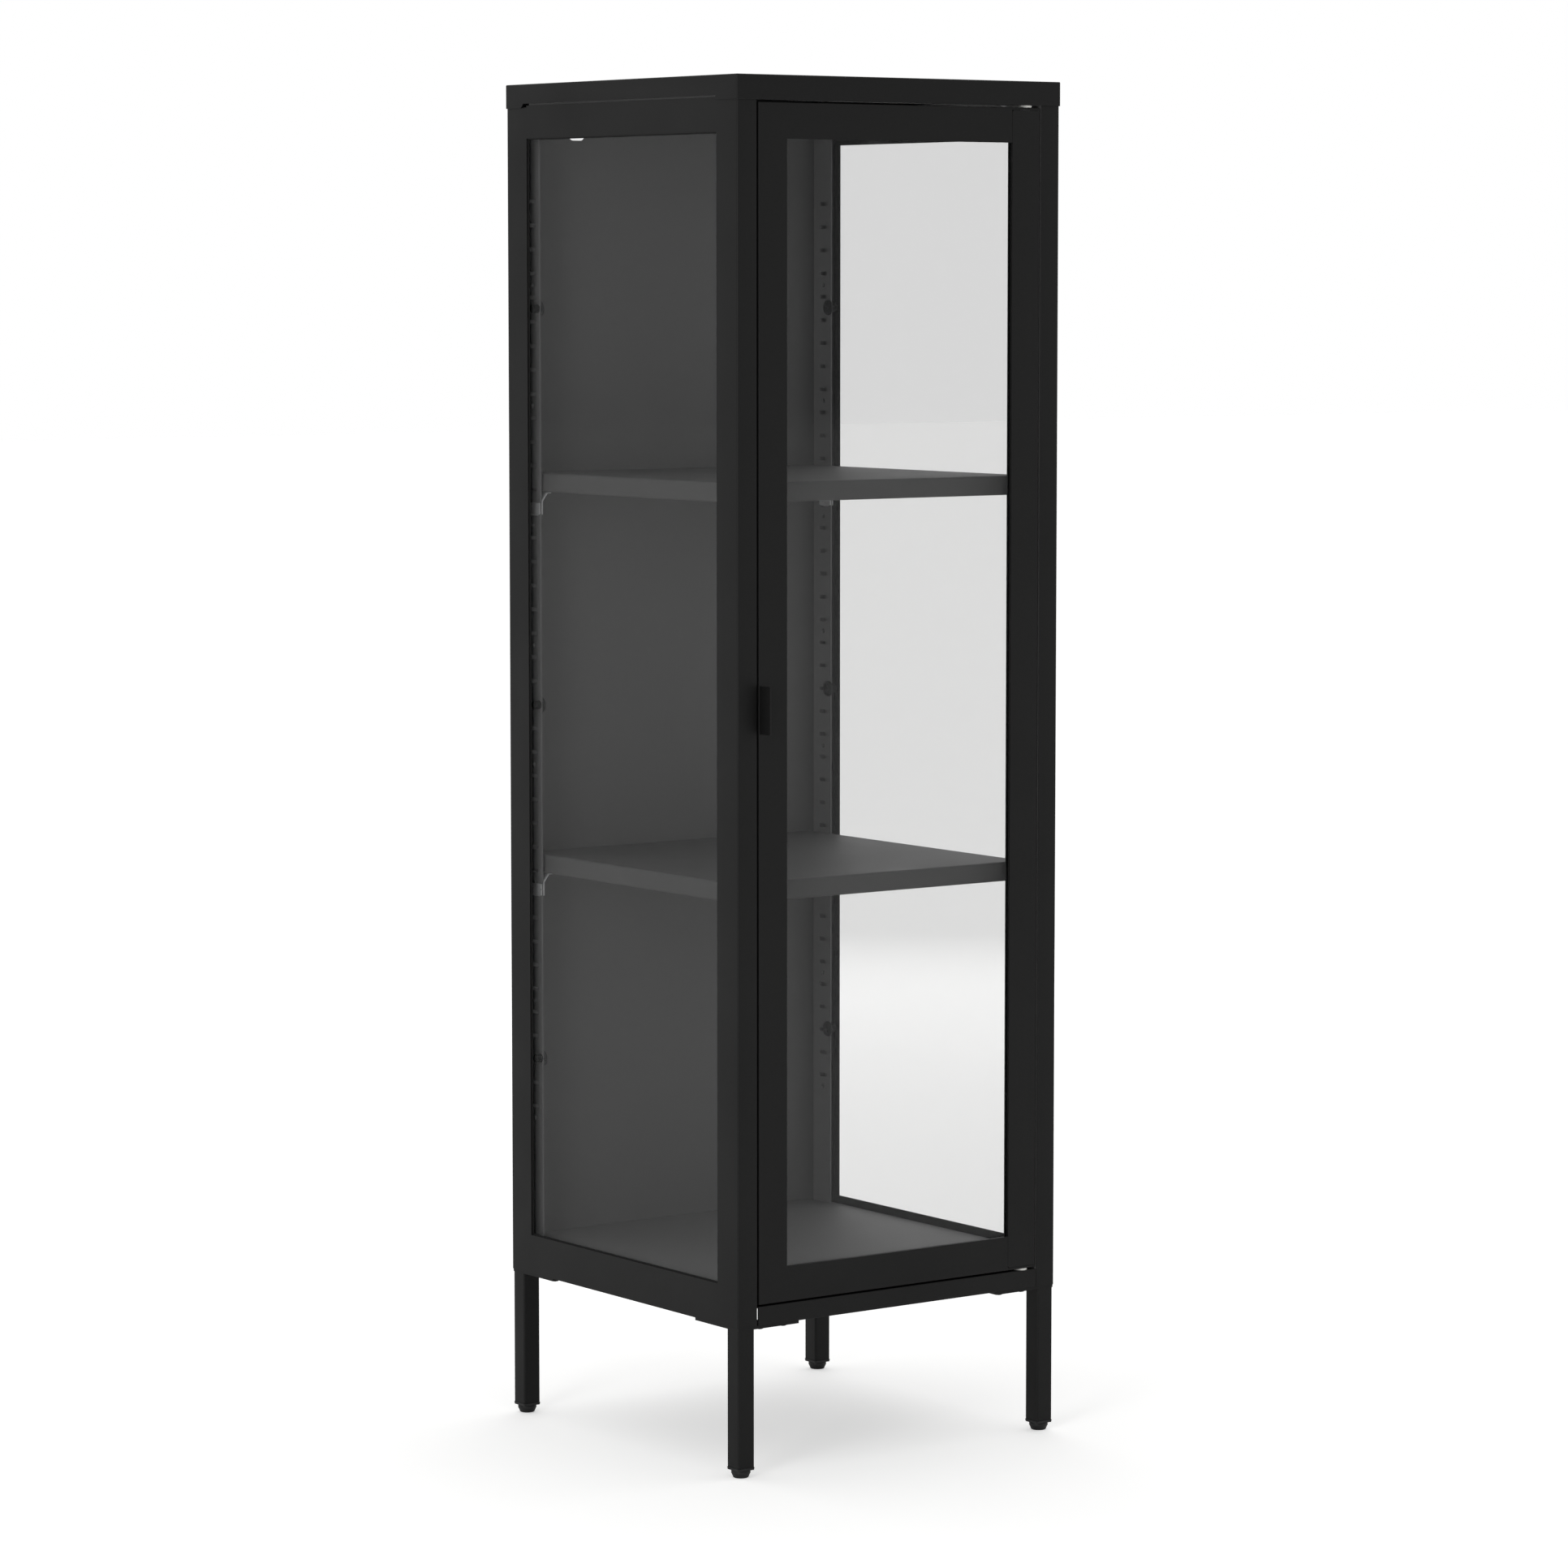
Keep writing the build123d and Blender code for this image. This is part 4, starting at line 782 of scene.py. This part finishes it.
class CASE_OT_stage(bpy.types.Operator):
    """Sets the floor, the soft lights, the pale surround and the camera"""

    bl_idname = "display_case.stage"
    bl_label = "Set Stage"

    def execute(self, context):
        studio = context.scene.case_studio
        scene = context.scene
        half = studio.floor_size / 2
        mesh = bpy.data.meshes.new("studio_floor")
        square = [(-half, -half, 0), (half, -half, 0), (half, half, 0), (-half, half, 0)]
        mesh.from_pydata(square, [], [(0, 1, 2, 3)])
        floor = bpy.data.objects.new("studio_floor", mesh)
        scene.collection.objects.link(floor)
        mesh.materials.append(self.floor_paint(studio.floor))
        self.lights(scene)
        self.surround(scene)
        camera = bpy.data.cameras.new("camera")
        camera.lens = studio.lens
        camera.clip_end = 200
        view = bpy.data.objects.new("camera", camera)
        view.location = studio.camera_place
        view.rotation_euler = (np.pi / 2 - studio.camera_dip, 0, -studio.camera_turn)
        scene.collection.objects.link(view)
        scene.camera = view
        return {"FINISHED"}

    @staticmethod
    def floor_paint(tone):
        """Matt white floor paint, faintly uneven in patches of 300 mm, and lifted towards
        the white of the surround where the camera sees it."""
        finish = {"Roughness": 0.95, "Specular IOR Level": 0.1}
        material, tree, place, shader = new_material("matt_studio_floor", finish)
        mixed = blend_colours(tree, noise(tree, place, 300.0), linear(tone), linear(SCUFFED_FLOOR))
        tree.links.new(mixed, shader.inputs["Base Color"])
        seen = add(tree, "ShaderNodeLightPath", {}, {}).outputs["Is Camera Ray"]
        lift = add(tree, "ShaderNodeMath", {"operation": "MULTIPLY"}, {0: seen, 1: FLOOR_LIFT}).outputs[0]
        tree.links.new(lift, shader.inputs["Emission Strength"])
        shader.inputs["Emission Color"].default_value = WHITE
        return material

    @staticmethod
    def lights(scene):
        """A tall soft panel on the left and a wide one beyond the case from the camera."""
        for name, place, size, power in LIGHTS:
            light = bpy.data.lights.new(name, "AREA")
            light.shape = "RECTANGLE"
            light.size, light.size_y = size
            light.energy = power
            lamp = bpy.data.objects.new(name, light)
            lamp.location = place
            aim = Vector(LIGHT_AIM) - Vector(place)
            lamp.rotation_euler = aim.to_track_quat("-Z", "Y").to_euler()
            lamp.visible_camera = False
            scene.collection.objects.link(lamp)

    @staticmethod
    def surround(scene):
        """A white surround to the camera.  As light it is dimmer: brightest behind the
        case and overhead, dimmest on the camera's side."""
        world = bpy.data.worlds.new("pale_surround")
        world.use_nodes = True
        tree = world.node_tree
        tree.nodes.clear()
        way = add(tree, "ShaderNodeTexCoord", {}, {}).outputs["Generated"]
        behind = add(tree, "ShaderNodeVectorMath", {"operation": "DOT_PRODUCT"}, {0: way, 1: BEHIND})
        level = spread(tree, behind.outputs["Value"], -0.6, 0.9, 0.16, 0.65)
        height = add(tree, "ShaderNodeSeparateXYZ", {}, {0: way}).outputs["Z"]
        sky = spread(tree, height, 0.1, 1.0, 0.0, 0.45)
        level = add(tree, "ShaderNodeMath", {"operation": "ADD"}, {0: level, 1: sky}).outputs[0]
        seen = add(tree, "ShaderNodeLightPath", {}, {}).outputs["Is Camera Ray"]
        strength = add(tree, "ShaderNodeMath", {"operation": "MAXIMUM"}, {0: level, 1: seen}).outputs[0]
        glow = add(tree, "ShaderNodeBackground", {}, {"Color": WHITE, "Strength": strength})
        add(tree, "ShaderNodeOutputWorld", {}, {"Surface": glow.outputs[0]})
        scene.world = world
        scene.view_settings.view_transform = "Standard"


OPERATORS = (
    CASE_OT_finishes,
    CASE_OT_sheets,
    CASE_OT_shelves,
    CASE_OT_clips,
    CASE_OT_retainers,
    CASE_OT_screws,
    CASE_OT_feet,
    CASE_OT_gaskets,
    CASE_OT_stage,
)


class CASE_PT_panel(bpy.types.Panel):
    """Lists the steps of the display case's finish"""

    bl_label = "Display Case"
    bl_idname = "CASE_PT_panel"
    bl_space_type = "VIEW_3D"
    bl_region_type = "UI"
    bl_category = "Display Case"

    def draw(self, context):
        for operator in OPERATORS:
            self.layout.operator(operator.bl_idname)


CLASSES = (CaseFinish, CaseFolds, StudioSettings, *OPERATORS, CASE_PT_panel)


def register():
    """Registers the classes and hangs the settings on the scene."""
    for cls in CLASSES:
        bpy.utils.register_class(cls)
    bpy.types.Scene.case_finish = PointerProperty(type=CaseFinish)
    bpy.types.Scene.case_folds = PointerProperty(type=CaseFolds)
    bpy.types.Scene.case_studio = PointerProperty(type=StudioSettings)


def unregister():
    """Takes the settings and the classes away again."""
    for name in ("case_finish", "case_folds", "case_studio"):
        delattr(bpy.types.Scene, name)
    for cls in reversed(CLASSES):
        bpy.utils.unregister_class(cls)


def main():
    """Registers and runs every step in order."""
    register()
    for operator in OPERATORS:
        group, name = operator.bl_idname.split(".")
        getattr(getattr(bpy.ops, group), name)()


if __name__ == "__main__":
    main()
